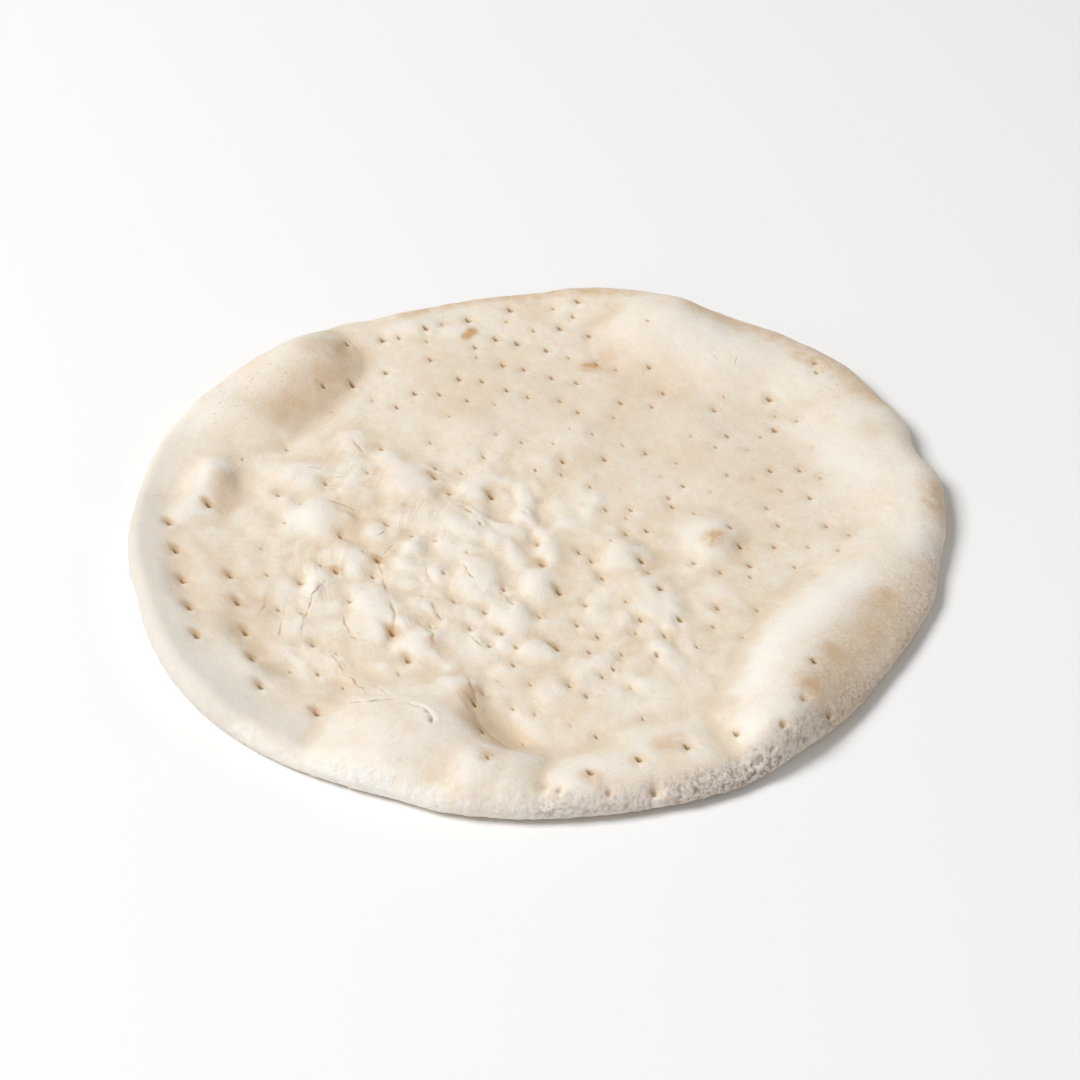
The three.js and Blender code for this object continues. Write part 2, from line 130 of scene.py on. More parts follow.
# Docking pricks in rows that stand out: first place, step, count, strength.
PRICK_ROWS = [
    ((-60, 110.5), (16.5, 6.5), 4, 1.0), ((-73.5, 106), (3, -25), 2, 1.0), ((-81, 76), (1, 0), 1, 0.7),
    ((-58, 89), (17, 8.2), 3, 0.7), ((-16, 111), (8.4, -3), 2, 0.9), ((-53, 67.5), (16, 8), 4, 0.6),
    ((-46.5, 76), (16.7, 9.1), 5, 0.75), ((9, 117.5), (7, 16), 2, 0.9),
    ((-11.5, 77.5), (17.2, 8.5), 3, 0.6), ((-3.5, 73.5), (12.3, -2), 2, 0.5),
    ((15.5, 64.5), (16.3, 5.5), 2, 0.6), ((9.5, 33.5), (15.5, 2.5), 2, 0.7),
    ((-37.5, 23.5), (21, -10), 2, 0.9), ((-118.8, 6), (1, 0), 1, 1.0),
    ((-132, -5), (3.9, -15.7), 5, 1.0), ((-108, -32), (3.75, -14.9), 5, 0.9),
    ((-73.5, -103), (1, 0), 1, 0.9), ((-71, -30), (14.5, 7), 2, 0.8), ((-50, -62), (6, -13.5), 2, 0.8),
    ((2, -25.5), (5.8, -15), 2, 0.9), ((37, -24), (6.3, -15.5), 3, 0.9),
    ((69.5, -5.5), (3, -9.8), 3, 0.7), ((87, -2.5), (-2.2, -12), 2, 0.5), ((63, -48), (1, 0), 1, 0.6),
    ((7, -69.5), (1, 0), 1, 0.9), ((-21, -99.5), (3, -12.5), 2, 0.8), ((17.5, -134), (16, 6.6), 3, 1.0),
    ((66, -115), (1, 0), 1, 0.7), ((2, -139), (5, -2), 2, 0.6), ((23, -141), (15, 2), 2, 0.8),
    ((81, -114), (16, 10), 2, 1.0), ((88.5, -102), (5.2, 18.5), 2, 0.9), ((88, 71), (1, -18), 2, 0.9),
    ((86, 29), (1, 0), 1, 0.6), ((106, 88), (0.4, -5.5), 2, 0.5), ((67, 65), (4, -16), 2, 0.6),
    ((43, 90), (5, -14), 2, 0.6), ((43, 114), (1, 0), 1, 0.4),
]
# Shallow single ones in the middle and in front.
FINE_PRICKS = [
    (14, -57), (21, -63), (18, -71), (26, -80), (11, -88), (41, -73), (56, -68), (53, -72),
    (35, -63), (36, -55), (29, -47), (17, -47), (-12, -62), (-8, -78), (1, -53), (-23, -59),
    (18, 21), (25, 6), (34, 6), (48, 13), (32, -8), (15, -18), (23, -32), (-16, -129),
]
FINE_STRENGTH, FINE_SPACING = 0.5, 4.0
# The fainter ones: two passes of a studded roller, drifted and kept by seeded draws.
ROLLER_STEP = (16.0, 7.4)
ROLLER_ROW = (-3.4, 16.2)
ROLLER_PASSES = [(-20.5, 83.5), (-11.5, 77.5)]
ROLLER_REACH = 16
PRICK_DRIFT = 1.6
PRICK_KEPT_SHARE = 0.6
PRICK_EDGE_MARGIN = 9.0
PRICK_SPACING = 6.0
# The rise of a puff or blister, or the depth of a dip, above which the faint ones have closed.
PRICK_CLOSING_RISE = 1.4
# Share of its strength that one loses just before that.
CLOSING_LOSS = 0.9
PRICK_SEED = 41
FAINT_LEAST, FAINT_MOST = 0.1, 0.6
# Sizes at no strength, and what full strength adds.
PRICK_RADIUS, PRICK_RADIUS_GAIN = 0.6, 0.5
PRICK_DEPTH, PRICK_DEPTH_GAIN = 0.7, 2.3
# How each narrows downwards, the share of the thickness that it may take, and its tail, drawn out behind it.
PRICK_TAPER, PRICK_DEEPEST = 1.4, 0.8
PRICK_TURN, PRICK_TAIL = 128, 2.4
# The soft dimple round it.
DIMPLE_REACH, DIMPLE_TAIL = 4.6, 2.0
DIMPLE_DEPTH, DIMPLE_DEPTH_GAIN = 0.22, 0.5
# Its brown, partly browning and partly painted shade in the hole: share at no strength, and reach in radii.
BROWN_SHADE_LEAST, BROWN_SHADE_REACH = 0.35, 1.35
# Those on the rounded edge have no tail, are wider and have less depth, brown and painted shade.
CRATER_WIDENING, CRATER_SHARE = 1.6, 0.7
# A low lip in front of each prick: rise, how far ahead and reach.
LIP_RISE, LIP_AHEAD, LIP_REACH = 0.5, 2.4, 2.8
# Painted shade behind each prick, on the wall of its dimple turned from the light: strength, how far behind,
# length and width.
TAIL_SHADE_STRENGTH, TAIL_SHADE_BEHIND, TAIL_SHADE_LENGTH, TAIL_SHADE_WIDTH = 0.75, 2.4, 6.5, 3.2
# Dimples and the painted shade behind them are drawn out most round a place on the left, and least from some
# way off on.
DRAWN_MIDDLE, DRAWN_REACH, DRAWN_LEAST = (-70, -35), (80, 125), 0.2
# A bubble that burst low on the front edge: place, reach, how much of that is the wall, and depth.
BURST_PLACE, BURST_REACH, BURST_WALL, BURST_DEPTH = (39, -139.8), 3.3, 0.4, 1.3

# Creases, cracks and folds of the skin: depth (less than nothing for a raised lip), half width, places.
CREASES = [
    (0.45, 0.9, [(-61, -18), (-56.7, -23), (-55, -30), (-53.7, -37), (-51.6, -45)]),
    (0.55, 1.4, [(-51.6, -45), (-50, -53), (-50, -62)]),
    (0.3, 0.8, [(-54, -6), (-59, -12)]),
    (0.3, 0.8, [(-51.4, -13), (-55.4, -20)]),
    (0.3, 0.8, [(-88, -46), (-89, -58), (-90, -66)]),
    (0.3, 0.8, [(-95, -42), (-97, -54)]),
    (0.3, 0.8, [(-40.7, -23), (-38.5, -34)]),
    (0.45, 1.1, [(-37, -45), (-35.7, -51), (-32.5, -55)]),
    (0.6, 1.7, [(-38, -60), (-35, -69)]),
    (0.35, 0.9, [(-68, -50), (-66, -60), (-62, -66)]),
    (0.35, 1.0, [(-73, -32), (-79, -42), (-81, -54), (-82, -72)]),
    (0.35, 0.9, [(-71, -70), (-68, -78), (-62, -86), (-56, -95)]),
    (0.35, 0.9, [(-56.5, -86), (-50, -96)]),
    (0.4, 1.1, [(-65, -97), (-59, -100), (-50, -99), (-43, -99)]),
    (-0.45, 1, [(-43, -99.5), (-36.5, -105), (-33.2, -110.5), (-32.6, -114)]),
    (1.7, 1.1, [(-43, -102.5), (-37.4, -107), (-35.4, -110)]),
    (1.7, 1.2, [(-35.8, -109.5), (-34.8, -115)]),
    (0.65, 1.4, [(-31, 9), (-26, 5.5), (-19, -1)]),
    (0.45, 1, [(-26.5, -25), (-24, -33), (-20.5, -38.5)]),
    (0.3, 0.8, [(-24.4, -62), (-18, -70)]),
    (0.35, 0.9, [(-11.5, -42), (-7.3, -49)]),
    (0.5, 1.4, [(1.8, -65), (7.3, -70)]),
    (0.3, 0.9, [(31, -51), (38, -56.5)]),
    (0.35, 0.8, [(18, 52), (22, 48.5)]),
    (0.6, 1.5, [(-24.7, -82), (-21.5, -93.5), (-20, -100)]),
    (0.55, 1.5, [(-26, -97), (-20, -106), (-14, -114), (-5, -122), (2, -126)]),
    (0.2, 0.6, [(-16, -83), (-9.7, -91)]),
    (0.2, 1.2, [(-86, 29), (-77.5, 28)]),
    (0.2, 1.2, [(-81, 19), (-72.5, 16.5)]),
    (0.15, 1.1, [(-76, 24), (-69, 25)]),
    (0.3, 0.9, [(-80, 11.5), (-68, 6), (-66, 3)]),
    (0.45, 1.2, [(-145, 13), (-136, 15)]),
    (0.25, 1.2, [(-70, 46), (-64, 37)]),
    (0.25, 0.6, [(66, 96), (69, 90)]),
    (0.25, 0.6, [(76, 93), (75, 86)]),
    (0.2, 0.6, [(83, 100), (88, 98)]),
]
# They wander a little: size of the noise and how far. They break up: size of the noise, middle and swing.
CREASE_WIGGLE_SIZE, CREASE_WIGGLE = 3.6, 0.8
CREASE_BREAK_SIZE, CREASE_WHOLE, CREASE_BREAK = 4.0, 0.75, 0.9
# Steepness of the sides, share of the depth at the ends, and what turns depth to sink and to painted shade.
CREASE_STEEPNESS, CREASE_END = 1.5, 0.15
CREASE_SINK, CREASE_SHADE = 0.6, 3.2

# Stretch lines in arcs round a point, measured along an arc of some radius: distances and angles between
# which they lie, and how far they fade at both ends.
STRETCH_CENTRE, STRETCH_RADIUS = (58, -15), 115
STRETCH_BAND, STRETCH_FADES = (72, 170), (18, 18)
STRETCH_ANGLES, STRETCH_ANGLE_FADES = (140, 230), (14, 16)

# Fineness of the mesh: cells of the top, rings of the edge, and how near to fine detail cells are halved.
GRID_CELLS = 180
SHOULDER_STEPS = 9
UNDERCUT_STEPS = 6
FINE_REACHES = (2.8, 1.6)
# Faint pricks count as this much further away, and creases as this many times as far. Cells are halved once
# where dough is pitted more strongly than this.
FAINT_SAVING, CREASE_FINENESS, PITTED_LEAST = 1.5, 1.4, 0.2
# The crumbly stretch of the edge: first and last angle, how far they fade, how far in it goes and to what
# share of that in full, and the noise that frays it.
CRUMBLY_ANGLES, CRUMBLY_FADES = (206, 385), (25, 30)
CRUMBLY_INSET, CRUMBLY_FULL = 8.0, 0.1
CRUMBLY_FRAY_SIZE, CRUMBLY_FRAY = 7, 3.0
# Crumbs: size and how far they stand out, share of that on the smooth and floury edge, depth at which a
# crevice is fully darkened as painted shade.
CRUMBS = [(3.6, 0.18), (1.9, 0.34), (1.2, 0.45)]
SMOOTH_EDGE_SHARE, FLOURY_SHARE, CREVICE_DEPTH = 0.12, 0.35, 0.3
# Small waves of the outline: size and how far.
EDGE_WAVES = [(11, 0.35), (5, 0.25)]
# The stretch of the edge that is painted greyer and darker, in the same way as the crumbly one.
GREYED_ANGLES, GREYED_FADES = (150, 250), (30, 30)
GREYED_INSET, GREYED_FULL = 22.0, 0.2
# Shares of the top's height between which things come in or, for the last three, end on the way up.
TOP_BAND, PRICK_BAND = (0.9, 1.0), (0.6, 0.8)
CRUMB_BAND, SIDE_FOOT_BAND = (0.5, 1.0), (0.0, 0.12)
SIDE_TOP_BAND, EDGE_WAVE_BAND, UNDERSIDE_BAND = (0.86, 1.0), (0.8, 1.0), (0.0, 0.15)

# Colours, as linear values.
DOUGH_PALE = (0.86, 0.785, 0.675, 1)
DOUGH_WARM = (0.81, 0.695, 0.55, 1)
# A tan for flecks and hair lines, and as painted shade in hollows.
MARK_AND_SHADE_TAN = (0.70, 0.56, 0.40, 1)
# A brown for pricks, partly browning and partly painted shade.
PRICK_BROWN_AND_SHADE = (0.50, 0.32, 0.16, 1)
# A brown for freckles and dark specks, and as painted shade in creases.
CREASE_SHADE_AND_SPOT_BROWN = (0.56, 0.39, 0.23, 1)
TOAST_TAN = (0.62, 0.38, 0.17, 1)
FLOUR_WHITE = (0.92, 0.905, 0.88, 1)
CRUMB_TAN = (0.76, 0.675, 0.60, 1)
# A grey that darkens the edge on the left.
EDGE_GREY = (0.66, 0.62, 0.56, 1)
# Painted shade in the crumbs' crevices and pits.
CREVICE_SHADE_BROWN = (0.32, 0.24, 0.195, 1)
# A pale for flecks and specks, and as painted light on ridges and on the pale strokes of lit slopes.
DRY_AND_LIT_PALE = (0.90, 0.865, 0.80, 1)
# A tan for the tan strokes, mostly painted shade.
SOFT_TAN = (0.68, 0.52, 0.355, 1)

# Toasted strokes: reach, strength and the places along them, one for a round spot.
TOASTED = [
    (3.6, 0.85, [(-28, 112)]),
    (3.8, 0.95, [(-25.6, 115.5)]),
    (4.2, 1.0, [(18, 92.5), (22.5, 92)]),
    (9, 0.3, [(24, 95), (30, 101)]),
    (7.5, 1.0, [(63, -13)]),
    (8, 0.5, [(101, 94), (110, 87)]),
    (6, 0.5, [(-52, 128), (-25, 138), (10, 142), (38, 138)]),
    (8, 0.4, [(62, 126), (86, 112), (108, 94), (128, 68)]),
    (9, 0.35, [(28, 127)]),
    (6, 0.5, [(-17, -127)]),
    (6, 0.65, [(17, -136)]),
    (9, 0.65, [(44, -119)]),
    (12, 0.12, [(-8, -134)]),
    (10, 0.5, [(144, 14), (143, 2)]),
    (6, 0.45, [(104, 101), (116, 87), (127, 72)]),
    (9, 0.55, [(121, -47)]),
    (8, 0.5, [(100, -77)]),
    (8, 0.55, [(91, -95)]),
    (5, 0.6, [(-42, -117)]),
    (5, 0.6, [(-16, -128)]),
    (5, 0.6, [(-50, -62)]),
    (5, 0.5, [(-35, -68)]),
    (4.5, 0.7, [(-72, -30)]),
    (4, 0.6, [(-57, -22)]),
    (6, 0.45, [(-22, -93)]),
]

# Tan strokes, mostly painted shade on slopes turned from the light, in hollows and darker towards the back,
# partly real browning; in the same way.
SHADED_AND_BROWNED = [
    (15, 0.95, [(-96, 60), (-87, 70), (-79, 84), (-74, 97)]),
    (18, 0.7, [(98, -97), (110, -76), (122, -55)]),
    (10, 0.4, [(123, 47)]),
    (26, 0.55, [(-104, -52)]),
    (11, 0.35, [(-133, -12), (-125, -44), (-116, -70)]),
    (60, 0.3, [(-10, 82), (20, 70), (70, 40)]),
    (12, 0.85, [(-24, -100), (-18, -109), (-8, -117)]),
    (13, 0.8, [(-84, 96), (-77, 101)]),
    (10, 0.85, [(-114, 18), (-113, 10)]),
    (8, 0.45, [(-69, 9), (-65, -1), (-69, -13)]),
    (7, 0.25, [(43, -22)]),
    (7, 0.9, [(-71, 98)]),
    (7, 0.45, [(72, -12)]),
    (10, 0.45, [(-100, -58), (-92, -80)]),
    (10, 0.3, [(-126, -18)]),
]
# Pale strokes, in the same way: painted light on slopes and blister tops turned to the light, partly dry
# skin.
DRIED_AND_LIT = [
    (26, 0.5, [(46, 112), (66, 102), (92, 88)]),
    (15, 0.85, [(73, -90), (79, -74), (92, -55), (112, -37)]),
    (20, 0.5, [(-118, 76)]),
    (14, 0.6, [(98, 55), (108, 40), (116, 25)]),
    (11, 0.6, [(136, 22), (139, 0), (134, -20)]),
    (18, 0.5, [(-132, 52)]),
    (14, 0.9, [(-83, -1)]),
    (26, 0.25, [(-54, -121)]),
    (14, 0.2, [(-20, -134)]),
    (13, 0.6, [(55, -9)]),
    (10, 0.6, [(-56, -50)]),
    (11, 0.5, [(-48, 21)]),
]

# Freckled strokes, in the same way.
FRECKLED = [
    (27, 1.0, [(-122, 62), (-98, 84)]),
    (13, 0.9, [(60, 122), (86, 108), (108, 90), (124, 70)]),
    (12, 0.6, [(-40, 128), (20, 137)]),
    (16, 0.5, [(-45, -125), (-12, -134), (25, -134)]),
    (15, 0.9, [(104, -90), (122, -60), (134, -36)]),
    (14, 0.6, [(135, 20), (138, 0)]),
]

# Floured and pitted strokes along the edge, in the same way.
FLOURED = [
    (6, 0.4, [(-100, -110), (-80, -126)]),
    (8, 0.9, [(-76, -129), (-30, -147)]),
    (8, 0.6, [(-30, -147), (0, -149), (40, -143)]),
    (7, 0.5, [(40, -143), (84, -121)]),
]
PITTED = [
    (8, 0.3, [(-24, -148), (-2, -149)]),
    (9, 0.8, [(4, -149), (24, -148), (58, -137), (90, -118)]),
    (13, 1.0, [(40, -145), (62, -136), (90, -119), (108, -103)]),
    (17, 0.7, [(108, -101), (128, -76), (142, -48), (149, -20)]),
    (10, 0.4, [(150, 0), (150, 14)]),
]
# Strokes with a fine rough grain, in the same way.
GRAINY = [
    (30, 1.0, [(102, -98), (122, -66), (137, -40)]),
    (9, 0.7, [(20, -144), (60, -132), (95, -110)]),
    (16, 0.3, [(142, -20), (143, 22)]),
    (16, 0.4, [(70, 124), (110, 92), (130, 60)]),
    (22, 0.35, [(-110, 62), (-82, 90)]),
]
# The noise that frays the borders of all strokes: its size and how far.
STROKE_FRAY_SIZE, STROKE_FRAY = 6, 1.2

# Noise of the looks: scale, detail and roughness. Its spread: a low and a high value, and what they become.
MOTTLE = (38, 4, 0.5), (0.35, 0.68)
FLECK_NOISE, FLECKS_TAN, FLECKS_PALE = (330, 4, 0.65), (0.52, 0.75, 0.0, 0.4), (0.27, 0.45, 0.5, 0.0)
# Painted light on ridges and painted shade in hollows, as spreads of the hollow mark.
RIDGES_DRY_AND_LIT, HOLLOWS_SHADED = (-1.0, 0.0, 0.55, 0.0), (0.0, 1.0, 0.0, 0.5)
# Spreads of the painted shade in creases and of the brown, partly painted shade, of pricks.
CREASES_SHADED, PRICKS_BROWN_AND_SHADED = (0.1, 0.8, 0.0, 0.9), (0.05, 1.0, 0.0, 0.9)
TAN_PATCHES = (90, 4, 0.6), (0.25, 0.7, 0.6, 1.1)
TOAST_PATCHES = (160, 4, 0.6), (0.3, 0.62, 0.35, 1.15)
UNDER_PATCHES = (30, 4, 0.6), (0.4, 0.68, 0.1, 0.4)
UNDER_SPOTS = (110, 3, 0.6), (0.56, 0.72, 0.0, 0.3)
# Hair lines: they follow one level of a drawn-out noise.
HAIR_SCALE, HAIR_NOISE, HAIR_LEVEL = (190, 15, 1), (1, 2, 0.5), 0.5
HAIR_WIDTH, HAIR_STRENGTH = (0.0, 0.05, 1.0, 0.0), 0.34
HAIR_PATCHES = (55, 2, 0.5), (0.48, 0.64)
FRECKLE_SCALE, FRECKLE_SIZE = 290, (0.08, 0.2, 1.0, 0.0)
FRECKLE_PATCHES = (130, 2, 0.5), (0.36, 0.5, 0.0, 0.6)
SPECK_NOISE, SPECKS_DARK, SPECKS_PALE = (800, 6, 0.75), (0.44, 0.72, 0.0, 0.7), (0.32, 0.45, 0.25, 0.0)
EDGE_GREY_STRENGTH, CRUMB_STRENGTH = 0.85, 0.6
FLOUR_PATCHES = (240, 5, 0.7), (0.3, 0.55)
CRUMB_NOISE, CRUMB_PIT_SHADE = (820, 5, 0.65), (0.51, 0.61)
PIT_SHADE_PATCHES = (80, 3, 0.5), (0.35, 0.6, 0.3, 0.9)
# The finest relief: grain all over, how far other things sink it, and the whole.
GRAIN_NOISE, FINE_GRAIN_NOISE, FINE_GRAIN = (260, 4, 0.6), (900, 4, 0.6), 0.5
HAIR_BUMP, SPECK_BUMP, FLOUR_BUMP, CRUMB_BUMP = 0.15, 1.6, 0.6, 3.0
BUMP_STRENGTH, BUMP_DISTANCE = 0.5, 0.0006
SURFACE = {
    "Roughness": 0.75,
    "Specular IOR Level": 0.2,
    "Subsurface Weight": 0.2,
    "Subsurface Radius": (1.0, 0.55, 0.3),
    "Subsurface Scale": 0.002,
}

# Smooth noise in the shapes: how many cells it has before it repeats, and what brings it to about one.
NOISE_CELLS, NOISE_GAIN = 256, 1.5
# The first seed of each use of it.
WAVE_SEED, LUMP_SEED = 1, 7
DRIFT_SEED_X, DRIFT_SEED_Y = 20, 30
CREASE_SEED_X, CREASE_SEED_Y, CREASE_BREAK_SEED = 40, 41, 42
CRUMB_SEED, FRAY_SEED, EDGE_SEED = 60, 70, 80
# Draws: each state is the last one times a factor, plus a step, within a span.
DRAW_FACTOR, DRAW_STEP, DRAW_SPAN = 1664525, 1013904223, 2 ** 32

# The raster on which hollows are told from ridges: step and half width, reach of the smoothing and how many
# reaches it spans, depth of a full hollow, and how deep a prick counts at most.
RASTER_STEP, RASTER_HALF = 1.0, 152
HOLLOW_REACH, HOLLOW_SPAN = 4.0, 3
HOLLOW_DEPTH, HOLLOW_PRICK_DEPTH = 0.45, 1.0

# The stage, in metres: half size of the floor, how far it lies below the dough, and its looks.
FLOOR_HALF, FLOOR_DROP = 4.0, 0.0004
FLOOR_COLOUR, FLOOR_ROUGHNESS = (0.94, 0.94, 0.94, 1), 0.9
# Softboxes, a strong one on the left: azimuth, elevation, size and power. What the white room throws back.
LIGHTS = [("key", 189, 50, 1.4, 91), ("right fill", 15, 15, 2.0, 19), ("front fill", 238, 12, 2.0, 14)]
LIGHT_DISTANCE = 3.2
ROOM_COLOUR, ROOM_LIGHT = (1.0, 0.965, 0.92, 1), 0.28
# The camera of the photograph.
LENS, SENSOR = 100.0, 36.0
ELEVATION = 40.0
DISTANCE = 1.0722
AIM = (0.0004, -0.0123, 0.008)


def hump(distance):
    """One in the middle, fading smoothly to nothing at a distance of one."""
    return np.clip(1 - distance * distance, 0, None) ** 2


def ease(low, high, value):
    """A smooth step from zero at low to one at high."""
    share = np.clip((value - low) / (high - low), 0, 1)
    return share * share * (3 - 2 * share)


def away_from(place, x, y):
    return np.hypot(x - place[0], y - place[1])


def band(value, ends, fades):
    """One between two ends, fading to nothing at each of them."""
    (low, high), (rise, fall) = ends, fades
    return ease(low, low + rise, value) * (1 - ease(high - fall, high, value))


def along_edge(angle, angles, fades):
    """One along a stretch of the edge between two angles, fading to nothing at its ends."""
    first, last = angles
    return band(np.mod(np.degrees(angle) - first, 360), (0, last - first), fades)


def edge_radius(angle):
    radius = np.full_like(angle, MEAN_RADIUS)
    for lobes, swell, peak in OUTLINE_WAVES:
        radius += swell * np.cos(lobes * (angle - math.radians(peak)))
    for middle, reach, swell in OUTLINE_BENDS:
        way = np.mod(np.degrees(angle) - middle + 180, 360) - 180
        radius += swell * hump(way / reach)
    return radius


def shoulder_width(angle):
    return SHOULDER_WIDTH * (1 + SHOULDER_SWING * np.cos(angle))


def turned(x, y, middle_x, middle_y, degrees):
    """Coordinates along and across a direction, counted from a middle."""
    cos, sin = math.cos(math.radians(degrees)), math.sin(math.radians(degrees))
    return (x - middle_x) * cos + (y - middle_y) * sin, (y - middle_y) * cos - (x - middle_x) * sin


def rough(points, size, seed):
    """Smooth noise between about -1 and 1, with bumps of the given size."""
    draws = np.random.default_rng(seed)
    order = draws.permutation(NOISE_CELLS)
    slopes = draws.normal(size=(NOISE_CELLS, 3))
    slopes *= NOISE_GAIN / np.linalg.norm(slopes, axis=1, keepdims=True)
    cell = np.floor(points / size).astype(int)
    share = points / size - cell
    blend = share ** 3 * (share * (share * 6 - 15) + 10)
    total = np.zeros(len(points))
    for corner in itertools.product((0, 1), repeat=3):
        pick = np.zeros(len(points), int)
        for axis in range(3):
            pick = order[(pick + cell[:, axis] + corner[axis]) % NOISE_CELLS]
        weight = np.prod(np.where(corner, blend, 1 - blend), axis=1)
        total += weight * np.sum(slopes[pick] * (share - corner), axis=1)
    return total


def flat_points(x, y):
    return np.stack([x, y, np.zeros_like(x)], axis=1)


def rough_waves(points, table, first_seed):
    """Smooth noise of all the sizes in a table, each as strong as the table says."""
    return sum(far * rough(points, size, seed) for seed, (size, far) in enumerate(table, start=first_seed))


def drifted(x, y):
    """Places drawn a little aside, so that the forms laid on them come out uneven."""
    points = flat_points(x, y)
    for index, (size, far) in enumerate(DRIFT_WAVES):
        x = x + far * rough(points, size, DRIFT_SEED_X + index)
        y = y + far * rough(points, size, DRIFT_SEED_Y + index)
    return x, y


def met(forms):
    """Joins forms that overlap: the higher wins, with a soft crease between them."""
    return sum(form ** MEETING_POWER for form in forms) ** (1 / MEETING_POWER)


def line_place(x, y, places):
    """The place on a line that is nearest to each point, and how far along the line, from zero to one."""
    nearest = np.full_like(x, np.inf)
    on_x, on_y, along = np.zeros_like(x), np.zeros_like(x), np.zeros_like(x)
    for index, ((ax, ay), (bx, by)) in enumerate(zip(places, places[1:])):
        run = (bx - ax) ** 2 + (by - ay) ** 2 or 1
        share = np.clip(((x - ax) * (bx - ax) + (y - ay) * (by - ay)) / run, 0, 1)
        here_x, here_y = ax + share * (bx - ax), ay + share * (by - ay)
        distance = np.hypot(x - here_x, y - here_y)
        closer = distance < nearest
        nearest = np.where(closer, distance, nearest)
        on_x, on_y = np.where(closer, here_x, on_x), np.where(closer, here_y, on_y)
        along = np.where(closer, (index + share) / (len(places) - 1), along)
    return on_x, on_y, along


def rim_rise(x, y):
    forms = []
    for first, last, softness, inwards, outwards, crest in RIM_ROLLS:
        on_x, on_y, along = line_place(x, y, crest)
        radius = np.hypot(on_x, on_y)
        out = np.clip(((x - on_x) * on_x + (y - on_y) * on_y) / radius, 0, None)
        away = np.sqrt(np.clip((x - on_x) ** 2 + (y - on_y) ** 2 - out ** 2, 0, None))
        inner = np.clip(1 - (away / inwards) ** 2, 0, None) ** softness
        outer = 1 - ROLL_FALL * ease(0, outwards, out)
        forms.append((first + (last - first) * along) * inner * outer)
    return met(forms)


def domes(x, y, table):
    """Domes of a table's sizes; where they overlap, the higher wins."""
    total = np.zeros_like(x)
    for middle_x, middle_y, long, short, turn, height in table:
        near = np.flatnonzero(np.hypot(x - middle_x, y - middle_y) < long)
        along, aside = turned(x[near], y[near], middle_x, middle_y, turn)
        left = np.clip(1 - (along / long) ** 2 - (aside / short) ** 2, 0, None)
        total[near] += (height * left ** BLISTER_FIRMNESS) ** MEETING_POWER
    return total ** (1 / MEETING_POWER)


def make_draws(seed):
    """Repeatable draws between zero and one."""
    state = seed

    def draw():
        nonlocal state
        state = (state * DRAW_FACTOR + DRAW_STEP) % DRAW_SPAN
        return state / DRAW_SPAN

    return draw


def all_bubbles():
    """Rows like those of the blisters, for bubbles that lie wherever the draws put them."""
    draw = make_draws(BUBBLE_SEED)

    def between(least_most):
        least, most = least_most
        return least + draw() * (most - least)

    rows = []
    for _ in range(BUBBLE_COUNT):
        away, turn = LUMPY_REACH * math.sqrt(draw()), 2 * math.pi * draw()
        place = (LUMPY_MIDDLE[0] + away * math.cos(turn), LUMPY_MIDDLE[1] + away * math.sin(turn))
        short = between(BUBBLE_SIZE)
        long = short * between(BUBBLE_STRETCH)
        long_turn = LUMP_TURN + BUBBLE_SWING * (2 * draw() - 1)
        rows.append((*place, long, short, long_turn, between(BUBBLE_RISE)))
    return rows


BUBBLES = all_bubbles()


def lumpiness(x, y):
    """How lumpy the dough is, from zero to one."""
    most = hump(away_from(LUMPY_MIDDLE, x, y) / LUMPY_REACH)
    front = FRONT_SHARE * hump(away_from(FRONT_MIDDLE, x, y) / FRONT_REACH)
    return np.maximum(most, front)


def lumps(x, y):
    along, aside = turned(x, y, 0, 0, LUMP_TURN)
    points = flat_points(along / LUMP_STRETCH, aside)
    total = np.zeros_like(x)
    for seed, (size, high) in enumerate(LUMPS, start=LUMP_SEED):
        total += high * np.abs(rough(points, size, seed))
    return total


def top_height(x, y):
    """Height of the top without its pricks and creases."""
    points = flat_points(x, y)
    waves = rough_waves(points, SMOOTH_WAVES, WAVE_SEED)
    aside_x, aside_y = drifted(x, y)
    bumps = lumps(aside_x, aside_y) + domes(aside_x, aside_y, BUBBLES)
    blisters = domes(aside_x, aside_y, BLISTERS)
    bumps *= 1 - SMOOTH_LOSS * np.clip(blisters / SMOOTH_RISE, 0, 1)
    height = FLOOR_THICKNESS + waves + lumpiness(x, y) * bumps
    rim_x, rim_y = (plain + RIM_DRIFT * (aside - plain) for plain, aside in ((x, aside_x), (y, aside_y)))
    height += rim_rise(rim_x, rim_y) + blisters - domes(aside_x, aside_y, DIPS)
    return height


def unevenness(x, y):
    """The rise of a puff or blister, or the depth of a dip, at one place."""
    here = (np.array([x]), np.array([y]))
    return max(rim_rise(*here)[0], domes(*here, BLISTERS)[0], domes(*here, DIPS)[0])


def is_free(x, y, others, spacing):
    """Whether a place is further than a spacing from all others."""
    return all(away_from(other, x, y) > spacing for other in others)


